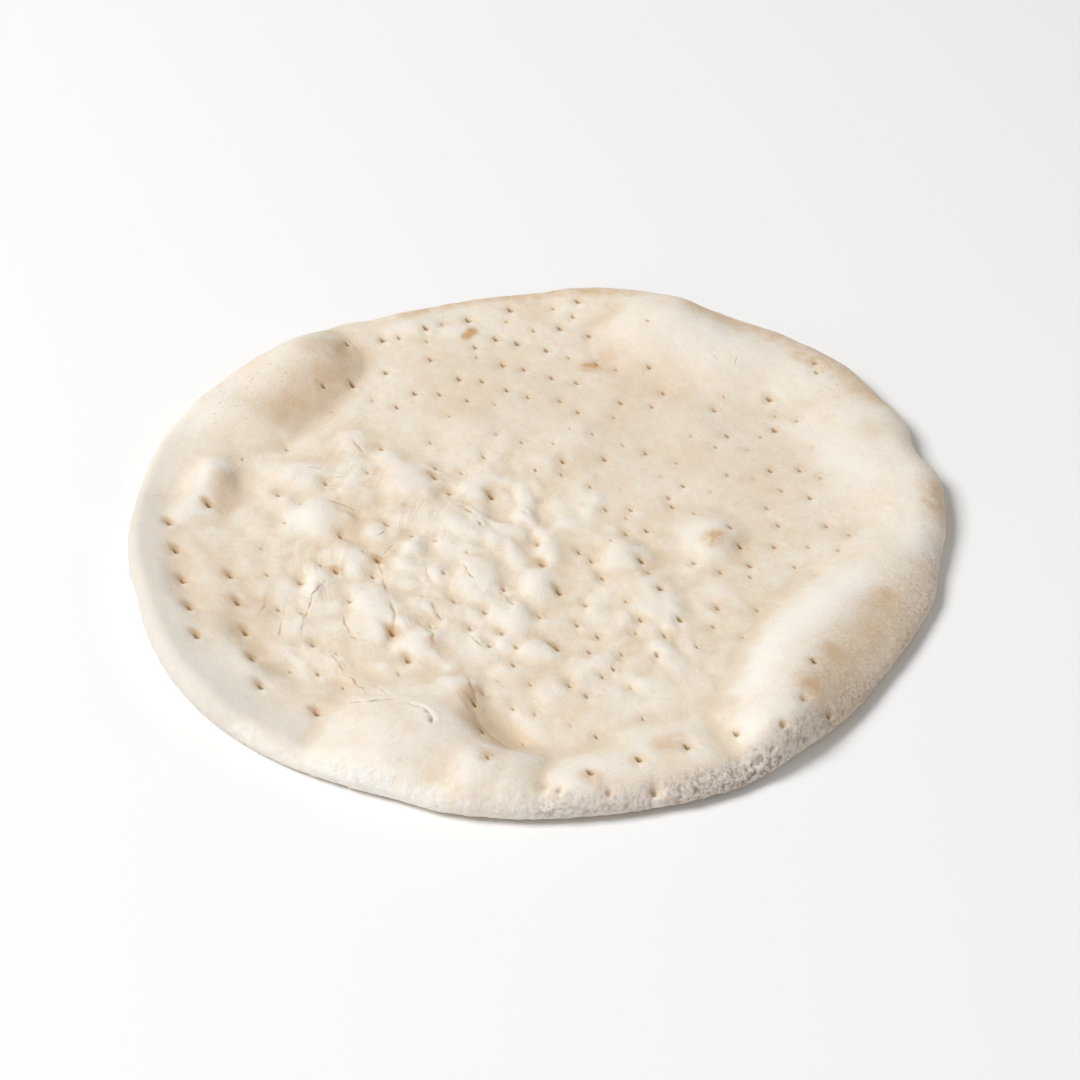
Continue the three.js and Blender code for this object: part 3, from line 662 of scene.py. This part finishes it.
def all_pricks():
    """x, y and strength of every docking prick."""
    clear = []
    for (x, y), (step_x, step_y), count, strength in PRICK_ROWS:
        clear += [(x + k * step_x, y + k * step_y, strength) for k in range(count)]
    pricks = list(clear)
    draw = make_draws(PRICK_SEED)
    reach = range(-ROLLER_REACH, ROLLER_REACH + 1)
    for (start_x, start_y), step, row in itertools.product(ROLLER_PASSES, reach, reach):
        drift_x = PRICK_DRIFT * (2 * draw() - 1)
        drift_y = PRICK_DRIFT * (2 * draw() - 1)
        strength = FAINT_LEAST + draw() * (FAINT_MOST - FAINT_LEAST)
        kept = draw() < PRICK_KEPT_SHARE
        x = start_x + step * ROLLER_STEP[0] + row * ROLLER_ROW[0] + drift_x
        y = start_y + step * ROLLER_STEP[1] + row * ROLLER_ROW[1] + drift_y
        edge = float(edge_radius(np.array(math.atan2(y, x))))
        inside = math.hypot(x, y) < edge - PRICK_EDGE_MARGIN
        if not (kept and inside and is_free(x, y, clear, PRICK_SPACING)):
            continue
        uneven = unevenness(x, y)
        if uneven <= PRICK_CLOSING_RISE:
            closing = float(ease(PRICK_CLOSING_RISE / 2, PRICK_CLOSING_RISE, uneven))
            pricks.append((x, y, strength * (1 - CLOSING_LOSS * closing)))
    for x, y in FINE_PRICKS:
        if is_free(x, y, pricks, FINE_SPACING):
            pricks.append((x, y, FINE_STRENGTH))
    return pricks


PRICKS = all_pricks()


def nearest_prick(x, y):
    """Distance from each point to the prick closest to it, with the faint ones taken to be further away."""
    nearest = np.full_like(x, np.inf)
    for prick_x, prick_y, strength in PRICKS:
        nearest = np.minimum(nearest, np.hypot(x - prick_x, y - prick_y) + FAINT_SAVING * (1 - strength))
    return nearest


def burst_bubble(x, y):
    """One in the smooth hollow of the burst bubble, falling to nothing at its border."""
    off = away_from(BURST_PLACE, x, y) / BURST_REACH
    return 1 - ease(1 - BURST_WALL, 1.0, off)


def prick_sizes(prick_x, prick_y, strength):
    """A prick's radius, tail and share of depth, and how far its dimple and the painted shade behind it are
    drawn out.
    """
    radius = PRICK_RADIUS + strength * PRICK_RADIUS_GAIN
    angle = math.atan2(prick_y, prick_x)
    inset = edge_radius(np.array(angle)) - math.hypot(prick_x, prick_y)
    if inset < shoulder_width(angle):
        return radius * CRATER_WIDENING, 1.0, CRATER_SHARE, 0.0
    drawn_out = 1 - (1 - DRAWN_LEAST) * ease(*DRAWN_REACH, away_from(DRAWN_MIDDLE, prick_x, prick_y))
    return radius, PRICK_TAIL, 1.0, drawn_out


def prick_forms(x, y):
    """How far pricks and the burst bubble sink the top, and how strongly each point in and behind a prick is
    painted brown: partly browning and partly painted shade in the hole, painted shade behind it.
    """
    sink, inside = np.zeros_like(x), np.zeros_like(x)
    for prick_x, prick_y, strength in PRICKS:
        radius, tail, deep, drawn_out = prick_sizes(prick_x, prick_y, strength)
        near = np.flatnonzero(np.hypot(x - prick_x, y - prick_y) < DIMPLE_REACH * DIMPLE_TAIL)
        along, aside = turned(x[near], y[near], prick_x, prick_y, PRICK_TURN)
        length = np.where(along > 0, tail * radius, radius)
        off = np.hypot(along / length, aside / radius)
        depth = deep * (PRICK_DEPTH + strength * PRICK_DEPTH_GAIN)
        hole = depth * np.clip(1 - off, 0, None) ** PRICK_TAPER
        drawn = np.where(along > 0, along / (1 + drawn_out * (DIMPLE_TAIL - 1)), along)
        dimple_depth = DIMPLE_DEPTH + strength * DIMPLE_DEPTH_GAIN
        dimple = dimple_depth * hump(np.hypot(drawn, aside) / DIMPLE_REACH)
        lip = strength * LIP_RISE * hump(np.hypot(along + LIP_AHEAD, aside) / LIP_REACH)
        sink[near] += hole + dimple - lip
        # Brown in the hole, partly browning and partly painted shade; painted shade behind it.
        brown_and_shade = deep * (BROWN_SHADE_LEAST + (1 - BROWN_SHADE_LEAST) * strength) * np.clip(BROWN_SHADE_REACH - off, 0, 1)
        behind = np.hypot((along - TAIL_SHADE_BEHIND) / TAIL_SHADE_LENGTH, aside / TAIL_SHADE_WIDTH)
        tail_shade = TAIL_SHADE_STRENGTH * strength * drawn_out * hump(behind)
        inside[near] = np.maximum(inside[near], np.maximum(brown_and_shade, tail_shade))
    return sink + BURST_DEPTH * burst_bubble(x, y), inside


def line_distance(x, y, places):
    """Distance from each point to a line through places, and how far along the line, from zero to one."""
    on_x, on_y, along = line_place(x, y, places)
    return np.hypot(x - on_x, y - on_y), along


def nearest_crease(x, y):
    nearest = np.full_like(x, np.inf)
    for _, _, places in CREASES:
        nearest = np.minimum(nearest, line_distance(x, y, places)[0])
    return nearest


def crease_forms(x, y):
    """How far the creases sink the top, and how strongly each point in a crease is darkened as painted
    shade, from zero to one.
    """
    points = flat_points(x, y)
    x = x + CREASE_WIGGLE * rough(points, CREASE_WIGGLE_SIZE, CREASE_SEED_X)
    y = y + CREASE_WIGGLE * rough(points, CREASE_WIGGLE_SIZE, CREASE_SEED_Y)
    whole = CREASE_WHOLE + CREASE_BREAK * rough(points, CREASE_BREAK_SIZE, CREASE_BREAK_SEED)
    whole = np.clip(whole, 0, 1)
    sink, inside = np.zeros_like(x), np.zeros_like(x)
    for depth, width, places in CREASES:
        distance, along = line_distance(x, y, places)
        ends = np.clip(4 * along * (1 - along) + CREASE_END, 0, 1)
        form = np.clip(1 - distance / width, 0, None) ** CREASE_STEEPNESS * ends
        sink += CREASE_SINK * depth * form * whole
        # Painted shade in creases, none on raised lips.
        if depth > 0:
            inside = np.maximum(inside, min(1, CREASE_SHADE * depth) * form * whole)
    return sink, inside


def stretch_lines(x, y):
    """Where the skin is stretched, and each place's distance from the pull's centre and way round it."""
    away_x, away_y = x - STRETCH_CENTRE[0], y - STRETCH_CENTRE[1]
    away = np.hypot(away_x, away_y)
    angle = np.mod(np.degrees(np.arctan2(away_y, away_x)), 360)
    mask = band(away, STRETCH_BAND, STRETCH_FADES) * band(angle, STRETCH_ANGLES, STRETCH_ANGLE_FADES)
    return mask, flat_points(away, np.radians(angle) * STRETCH_RADIUS) * MM


def softened(raster):
    """A raster smoothed over the reach that tells hollows from ridges."""
    cells = int(HOLLOW_SPAN * HOLLOW_REACH / RASTER_STEP)
    offsets = np.arange(-cells, cells + 1) * RASTER_STEP
    weights = np.exp(-offsets ** 2 / (2 * HOLLOW_REACH ** 2))
    weights /= weights.sum()

    def smoothed(line):
        return np.convolve(np.pad(line, cells, "edge"), weights, "valid")

    for axis in (0, 1):
        raster = np.apply_along_axis(smoothed, axis, raster)
    return raster


def hollows(x, y):
    """How far each place lies below the dough round it, from minus one on ridges to one in hollows."""
    ticks = np.arange(-RASTER_HALF, RASTER_HALF + RASTER_STEP, RASTER_STEP)
    grid_x, grid_y = (axis.ravel() for axis in np.meshgrid(ticks, ticks, indexing="ij"))
    sink, _ = prick_forms(grid_x, grid_y)
    height = top_height(grid_x, grid_y) - np.minimum(sink, HOLLOW_PRICK_DEPTH)
    height = height.reshape(len(ticks), len(ticks))
    below = np.clip((softened(height) - height) / HOLLOW_DEPTH, -1, 1)
    at_x, at_y = ((axis + RASTER_HALF) / RASTER_STEP for axis in (x, y))
    cell_x, cell_y = (np.clip(axis.astype(int), 0, len(ticks) - 2) for axis in (at_x, at_y))
    share_x, share_y = at_x - cell_x, at_y - cell_y
    low = below[cell_x, cell_y] * (1 - share_x) + below[cell_x + 1, cell_y] * share_x
    high = below[cell_x, cell_y + 1] * (1 - share_x) + below[cell_x + 1, cell_y + 1] * share_x
    return low * (1 - share_y) + high * share_y


def strokes(x, y, table):
    """How strongly the strokes of a table cover each place, with frayed borders."""
    fray = STROKE_FRAY * rough(flat_points(x, y), STROKE_FRAY_SIZE, FRAY_SEED)
    cover = np.zeros_like(x)
    for reach, strength, places in table:
        away = line_distance(x, y, places if len(places) > 1 else places * 2)[0] + fray
        cover = np.maximum(cover, strength * hump(np.clip(away, 0, None) / reach))
    return cover


def greyed_left_edge(x, y):
    """Where the edge on the left is painted greyer and darker."""
    angle = np.arctan2(y, x)
    inset = edge_radius(angle) - np.hypot(x, y)
    along = along_edge(angle, GREYED_ANGLES, GREYED_FADES)
    return along * (1 - ease(GREYED_FULL * GREYED_INSET, GREYED_INSET, inset))


def square_to_disc(square):
    """Draws a square grid out to a disc so that its cells stay even."""
    a, b = square[:, 0], square[:, 1]
    wide = np.abs(a) >= np.abs(b)
    radius = np.where(wide, a, b)
    with np.errstate(divide="ignore", invalid="ignore"):
        turn = np.where(wide, math.pi / 4 * b / a, math.pi / 2 - math.pi / 4 * a / b)
    turn = np.where(radius == 0, 0, turn)
    return np.stack([radius * np.cos(turn), radius * np.sin(turn)], axis=1)


def plan_of(bm):
    """Plan places in millimetres of the puck's points, drawn out to the outline."""
    places = np.array([v.co[:2] for v in bm.verts])
    share = np.hypot(places[:, 0], places[:, 1])
    angle = np.arctan2(places[:, 1], places[:, 0])
    edge, shoulder = edge_radius(angle), shoulder_width(angle)
    on_top = share / TOP_SHARE * (edge - shoulder)
    on_shoulder = edge - shoulder * (1 - share) / (1 - TOP_SHARE)
    radius = np.where(share < TOP_SHARE, on_top, on_shoulder)
    return np.stack([radius * np.cos(angle), radius * np.sin(angle)], axis=1)


def crumbly_share(x, y):
    """How crumbly the dough is near its edge, from zero to one."""
    angle = np.arctan2(y, x)
    fray = CRUMBLY_FRAY * rough(flat_points(x, y), CRUMBLY_FRAY_SIZE, FRAY_SEED)
    inset = edge_radius(angle) - np.hypot(x, y) + fray
    along = along_edge(angle, CRUMBLY_ANGLES, CRUMBLY_FADES)
    return along * (1 - ease(CRUMBLY_FULL * CRUMBLY_INSET, CRUMBLY_INSET, inset))


def halve(bm, chosen):
    """Halves the chosen edges, taken in the mesh's own order."""
    edges = [edge for edge in bm.edges if edge in chosen]
    bmesh.ops.subdivide_edges(bm, edges=edges, cuts=1, use_grid_fill=True)


def refine_near_detail(bm, reach):
    """Halves the cells that lie near a prick, a crease or pitted dough."""
    bm.verts.index_update()
    x, y = plan_of(bm).T
    distance = np.minimum(nearest_prick(x, y), CREASE_FINENESS * nearest_crease(x, y))
    pitted = strokes(x, y, PITTED) > PITTED_LEAST
    distance = np.where(pitted, np.minimum(distance, min(FINE_REACHES)), distance)
    near = set()
    for face in bm.faces:
        inner = not any(edge.is_boundary for edge in face.edges)
        if inner and min(distance[vert.index] for vert in face.verts) < reach:
            near.update(face.edges)
    halve(bm, near)


def add_fine_top(bm):
    """A round grid at a height of one, with smaller cells near fine detail."""
    bmesh.ops.create_grid(bm, x_segments=GRID_CELLS, y_segments=GRID_CELLS, size=1.0)
    disc = square_to_disc(np.array([v.co[:2] for v in bm.verts])) * TOP_SHARE
    for vert, place in zip(bm.verts, disc):
        vert.co = (place[0], place[1], 1.0)
    for reach in FINE_REACHES:
        refine_near_detail(bm, reach)
    many_sided = [face for face in bm.faces if len(face.verts) > 4]
    bmesh.ops.triangulate(bm, faces=many_sided)


def edge_profile():
    """Insets from the outline, with shares of the top's height, down the rounded edge to the underside."""
    steps = []
    for step in range(1, SHOULDER_STEPS + 1):
        turn = math.pi / 2 * (1 - step / SHOULDER_STEPS)
        share = BELLY_SHARE + (1 - BELLY_SHARE) * math.sin(turn)
        steps.append((SHOULDER_WIDTH * (1 - math.cos(turn)), share))
    for step in range(1, UNDERCUT_STEPS + 1):
        turn = math.pi / 2 * step / UNDERCUT_STEPS
        steps.append((UNDERCUT_WIDTH * (1 - math.cos(turn)), BELLY_SHARE * (1 - math.sin(turn))))
    return steps


def add_edge_and_underside(bm):
    """Draws the top's border down along the edge's profile and closes it. Returns the underside's faces."""
    loop = [edge for edge in bm.edges if edge.is_boundary]
    for inset, share in edge_profile():
        made = bmesh.ops.extrude_edge_only(bm, edges=loop)["geom"]
        for vert in (g for g in made if isinstance(g, bmesh.types.BMVert)):
            reach = (1 - inset / MEAN_RADIUS) / math.hypot(vert.co.x, vert.co.y)
            vert.co = (vert.co.x * reach, vert.co.y * reach, share)
        loop = [g for g in made if isinstance(g, bmesh.types.BMEdge) and g.is_boundary]
    return bmesh.ops.edgeloop_fill(bm, edges=loop)["faces"]


def refine_crumbly_edge(bm, under):
    """Halves the cells of the edge along its crumbly stretch."""
    first, last = CRUMBLY_ANGLES
    crumbly = set()
    for face in bm.faces:
        middle = face.calc_center_median()
        way = (math.degrees(math.atan2(middle.y, middle.x)) - first) % 360
        if face not in under and max(v.co.z for v in face.verts) < 1 and way < last - first:
            crumbly.update(face.edges)
    halve(bm, crumbly)


def puck_mesh():
    """A puck of radius one, with heights that are shares of the top's."""
    bm = bmesh.new()
    add_fine_top(bm)
    under = add_edge_and_underside(bm)
    refine_crumbly_edge(bm, under)
    for face in bm.faces:
        face.smooth = abs(face.calc_center_median().z) > 0
    bmesh.ops.recalc_face_normals(bm, faces=bm.faces)
    return bm


def shaped(bm):
    """Places in millimetres of all the dough's points, and what its material reads at each of them."""
    x, y = plan_of(bm).T.copy()
    share = np.array([v.co.z for v in bm.verts])
    angle = np.arctan2(y, x)
    top = ease(*TOP_BAND, share)
    pricked = ease(*PRICK_BAND, share)
    prick_sink, in_prick = prick_forms(x, y)
    crease_sink, in_crease = crease_forms(x, y)
    height = top_height(x, y)
    height -= pricked * np.minimum(prick_sink, PRICK_DEEPEST * height) + top * crease_sink
    z = share * height
    points = np.stack([x, y, z], axis=1)

    # The edge is crumbly, most of all where it is pitted.
    pitted = strokes(x, y, PITTED) * (1 - burst_bubble(x, y))
    crumbly = np.maximum(FLOURY_SHARE * crumbly_share(x, y), pitted)
    side = (1 - ease(*SIDE_TOP_BAND, share)) * ease(*SIDE_FOOT_BAND, share)
    crumb = rough_waves(points, CRUMBS, CRUMB_SEED)
    out = side * crumb * (SMOOTH_EDGE_SHARE + (1 - SMOOTH_EDGE_SHARE) * crumbly)
    ring = flat_points(MEAN_RADIUS * np.cos(angle), MEAN_RADIUS * np.sin(angle))
    out += (1 - ease(*EDGE_WAVE_BAND, share)) * rough_waves(ring, EDGE_WAVES, EDGE_SEED)
    x += out * np.cos(angle)
    y += out * np.sin(angle)
    z += crumbly * crumb * ease(*CRUMB_BAND, share)

    stretched, stretch_place = stretch_lines(x, y)
    places = np.stack([x, y, z], axis=1)
    middle = (places.min(axis=0) + places.max(axis=0)) / 2
    places[:, :2] -= middle[:2]
    marks = {
        "toast": strokes(x, y, TOASTED),
        "tan": strokes(x, y, SHADED_AND_BROWNED),
        "greyed": greyed_left_edge(x, y),
        "pale": strokes(x, y, DRIED_AND_LIT),
        "flour": strokes(x, y, FLOURED),
        "pitted": pitted,
        "under": 1 - ease(*UNDERSIDE_BAND, share),
        "crevice": crumbly * np.clip(-crumb / CREVICE_DEPTH, 0, 1),
        "prick": in_prick * pricked,
        "freckled": strokes(x, y, FRECKLED),
        "grainy": strokes(x, y, GRAINY),
        "crease": in_crease * top,
        "hollow": hollows(x, y) * top,
        "stretched": stretched * top,
        "stretch_place": stretch_place,
    }
    return places, marks


def add_object(name, data):
    made = bpy.data.objects.new(name, data)
    bpy.context.collection.objects.link(made)
    return made


def add_piece(name, bm):
    mesh = bpy.data.meshes.new(name)
    bm.to_mesh(mesh)
    bm.free()
    return add_object(name, mesh)


def dough_piece():
    bm = puck_mesh()
    places, marks = shaped(bm)
    piece = add_piece("baked_dough", bm)
    mesh = piece.data
    mesh.vertices.foreach_set("co", (places * MM).ravel())
    for name, values in marks.items():
        kind, slot = ("FLOAT", "value") if values.ndim == 1 else ("FLOAT_VECTOR", "vector")
        mesh.attributes.new(name, kind, "POINT").data.foreach_set(slot, values.ravel())
    mesh.update()
    return piece


class Nodes:
    """Short ways to add nodes to a material."""

    # The colour sockets of a mix node.
    MIX_UNDER, MIX_OVER, MIX_RESULT = 6, 7, 2

    def __init__(self, material):
        material.use_nodes = True
        self.tree = material.node_tree
        self.shader = self.tree.nodes["Principled BSDF"]
        self.place = self.add("ShaderNodeTexCoord").outputs["Object"]

    def fill(self, node, inputs):
        """Links each input of a node, or sets it to a plain number or colour."""
        for name, value in inputs.items():
            if isinstance(value, (int, float, tuple)):
                node.inputs[name].default_value = value
            else:
                self.tree.links.new(value, node.inputs[name])

    def add(self, kind, inputs=None, **settings):
        node = self.tree.nodes.new(kind)
        for name, value in settings.items():
            setattr(node, name, value)
        self.fill(node, inputs or {})
        return node

    def mark(self, name, output="Fac"):
        return self.add("ShaderNodeAttribute", attribute_name=name).outputs[output]

    def scaled(self, vector, scale):
        return self.add("ShaderNodeMapping", {"Vector": vector, "Scale": scale}).outputs["Vector"]

    def noise(self, scale, detail, roughness, vector=None):
        inputs = {"Scale": scale, "Detail": detail, "Roughness": roughness, "Vector": vector or self.place}
        return self.add("ShaderNodeTexNoise", inputs).outputs["Fac"]

    def spread(self, value, low, high, to_low=0.0, to_high=1.0):
        inputs = {"Value": value, "From Min": low, "From Max": high, "To Min": to_low, "To Max": to_high}
        return self.add("ShaderNodeMapRange", inputs, interpolation_type="SMOOTHSTEP").outputs["Result"]

    def patches(self, noise, spread):
        return self.spread(self.noise(*noise), *spread)

    def math(self, operation, first, second=0.0):
        return self.add("ShaderNodeMath", {0: first, 1: second}, operation=operation).outputs["Value"]

    def times(self, first, *others):
        for other in others:
            first = self.math("MULTIPLY", first, other)
        return first

    def mix(self, share, under, over):
        inputs = {"Factor": share, self.MIX_UNDER: under, self.MIX_OVER: over}
        return self.add("ShaderNodeMix", inputs, data_type="RGBA").outputs[self.MIX_RESULT]


def skin_colour(n):
    """Pale dough, warmer in patches, tan in its hollows as painted shade, and paler on its ridges, partly as
    dry skin and partly as painted light.
    """
    colour = n.mix(n.patches(*MOTTLE), DOUGH_PALE, DOUGH_WARM)
    flecks = n.noise(*FLECK_NOISE)
    colour = n.mix(n.spread(flecks, *FLECKS_TAN), colour, MARK_AND_SHADE_TAN)
    colour = n.mix(n.spread(flecks, *FLECKS_PALE), colour, DRY_AND_LIT_PALE)
    # Ridges painted paler, partly dry skin and partly painted light; hollows painted tan as painted shade.
    ridges = n.spread(n.mark("hollow"), *RIDGES_DRY_AND_LIT)
    # The pale strokes as well: painted light on lit slopes, partly dry skin.
    colour = n.mix(n.math("MAXIMUM", ridges, n.mark("pale")), colour, DRY_AND_LIT_PALE)
    colour = n.mix(n.spread(n.mark("hollow"), *HOLLOWS_SHADED), colour, MARK_AND_SHADE_TAN)
    # Creases darkened brown as painted shade.
    colour = n.mix(n.spread(n.mark("crease"), *CREASES_SHADED), colour, CREASE_SHADE_AND_SPOT_BROWN)
    # Tan strokes: painted shade on slopes turned from the light and in hollows, partly real browning.
    return n.mix(n.times(n.mark("tan"), n.patches(*TAN_PATCHES)), colour, SOFT_TAN)


def hair_lines(n):
    """Fine lines where the skin is stretched, in patches."""
    lines = n.noise(*HAIR_NOISE, n.scaled(n.mark("stretch_place", "Vector"), HAIR_SCALE))
    lines = n.spread(n.math("ABSOLUTE", n.math("SUBTRACT", lines, HAIR_LEVEL)), *HAIR_WIDTH)
    return n.times(lines, n.mark("stretched"), n.patches(*HAIR_PATCHES))


def freckles(n):
    """Small round spots, in patches."""
    cells = n.add("ShaderNodeTexVoronoi", {"Vector": n.place, "Scale": FRECKLE_SCALE})
    spots = n.spread(cells.outputs["Distance"], *FRECKLE_SIZE)
    return n.times(spots, n.patches(*FRECKLE_PATCHES), n.mark("freckled"))


def with_specks(n, colour, specks):
    """Adds dark and pale specks where the dough is grainy."""
    for spread, speck_colour in ((SPECKS_DARK, CREASE_SHADE_AND_SPOT_BROWN), (SPECKS_PALE, DRY_AND_LIT_PALE)):
        colour = n.mix(n.times(n.spread(specks, *spread), n.mark("grainy")), colour, speck_colour)
    return colour


def with_edge_and_spots(n, colour, crumbs):
    """Greys and darkens the left edge, adds toasted spots, flour and crumbs on the front edge with painted
    shade in the crumbs' crevices and pits, and pricks painted brown, partly browning and partly painted
    shade.
    """
    # The edge on the left painted greyer and darker.
    colour = n.mix(n.times(n.mark("greyed"), EDGE_GREY_STRENGTH), colour, EDGE_GREY)
    colour = n.mix(n.times(n.mark("toast"), n.patches(*TOAST_PATCHES)), colour, TOAST_TAN)
    colour = n.mix(n.times(n.mark("flour"), n.patches(*FLOUR_PATCHES)), colour, FLOUR_WHITE)
    colour = n.mix(n.times(n.mark("pitted"), CRUMB_STRENGTH), colour, CRUMB_TAN)
    # Painted shade where the crumbs and the bump's pits sink.
    pit_shade = n.times(n.spread(crumbs, *CRUMB_PIT_SHADE), n.patches(*PIT_SHADE_PATCHES))
    pit_shade = n.times(n.math("MAXIMUM", pit_shade, n.mark("crevice")), n.mark("pitted"))
    colour = n.mix(pit_shade, colour, CREVICE_SHADE_BROWN)
    # Pricks painted brown, partly browning and partly painted shade.
    return n.mix(n.spread(n.mark("prick"), *PRICKS_BROWN_AND_SHADED), colour, PRICK_BROWN_AND_SHADE)


def with_browned_underside(n, colour):
    """Browns the underside in blotches where it lay on the oven's floor."""
    blotches = n.math("ADD", n.patches(*UNDER_PATCHES), n.patches(*UNDER_SPOTS))
    return n.mix(n.times(blotches, n.mark("under")), colour, TOAST_TAN)


def grain_bump(n, hairs, specks, crumbs):
    """The finest relief: grain all over, sunk by hair lines, specks and crumbs."""
    grain = n.math("ADD", n.noise(*GRAIN_NOISE), n.times(n.noise(*FINE_GRAIN_NOISE), FINE_GRAIN))
    crumbly = n.math("MAXIMUM", n.mark("pitted"), n.times(n.mark("flour"), FLOUR_BUMP))
    sunk = [
        n.times(hairs, HAIR_BUMP),
        n.times(specks, n.mark("grainy"), SPECK_BUMP),
        n.times(crumbs, crumbly, CRUMB_BUMP),
    ]
    for depth in sunk:
        grain = n.math("SUBTRACT", grain, depth)
    inputs = {"Strength": BUMP_STRENGTH, "Distance": BUMP_DISTANCE, "Height": grain}
    return n.add("ShaderNodeBump", inputs).outputs["Normal"]


def dough_material():
    material = bpy.data.materials.new("dough")
    n = Nodes(material)
    hairs, specks, crumbs = hair_lines(n), n.noise(*SPECK_NOISE), n.noise(*CRUMB_NOISE)
    colour = n.mix(n.times(hairs, HAIR_STRENGTH), skin_colour(n), MARK_AND_SHADE_TAN)
    colour = n.mix(freckles(n), colour, CREASE_SHADE_AND_SPOT_BROWN)
    colour = with_specks(n, colour, specks)
    colour = with_edge_and_spots(n, colour, crumbs)
    colour = with_browned_underside(n, colour)
    n.fill(n.shader, {"Base Color": colour, "Normal": grain_bump(n, hairs, specks, crumbs), **SURFACE})
    return material


def floor_material():
    material = bpy.data.materials.new("pale_floor")
    n = Nodes(material)
    n.fill(n.shader, {"Base Color": FLOOR_COLOUR, "Roughness": FLOOR_ROUGHNESS})
    return material


def floor():
    bm = bmesh.new()
    bmesh.ops.create_grid(bm, x_segments=1, y_segments=1, size=FLOOR_HALF)
    piece = add_piece("floor", bm)
    piece.location.z = -FLOOR_DROP
    piece.data.materials.append(floor_material())
    return piece


def soft_light(name, azimuth, elevation, size, power):
    """A square softbox that faces the dough from a direction."""
    turn, up = math.radians(azimuth), math.radians(elevation)
    across = LIGHT_DISTANCE * math.cos(up)
    place = Vector((across * math.cos(turn), across * math.sin(turn), LIGHT_DISTANCE * math.sin(up)))
    data = bpy.data.lights.new(name, "AREA")
    data.size = size
    data.energy = power
    light = add_object(name, data)
    light.location = place
    light.rotation_euler = (-place).to_track_quat("-Z", "Y").to_euler()


def photo_camera():
    data = bpy.data.cameras.new("camera")
    data.lens = LENS
    data.sensor_width = SENSOR
    camera = add_object("camera", data)
    up = math.radians(ELEVATION)
    camera.location = (AIM[0], AIM[1] - DISTANCE * math.cos(up), AIM[2] + DISTANCE * math.sin(up))
    camera.rotation_euler = (math.pi / 2 - up, 0, 0)
    bpy.context.scene.camera = camera


def studio():
    floor()
    for light in LIGHTS:
        soft_light(*light)
    world = bpy.data.worlds.new("studio")
    world.use_nodes = True
    inputs = world.node_tree.nodes["Background"].inputs
    inputs["Color"].default_value = ROOM_COLOUR
    inputs["Strength"].default_value = ROOM_LIGHT
    bpy.context.scene.world = world
    bpy.context.scene.view_settings.view_transform = "Standard"


base = dough_piece()
base.data.materials.append(dough_material())
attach(base, "root")
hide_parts("pizza_base")
studio()
photo_camera()
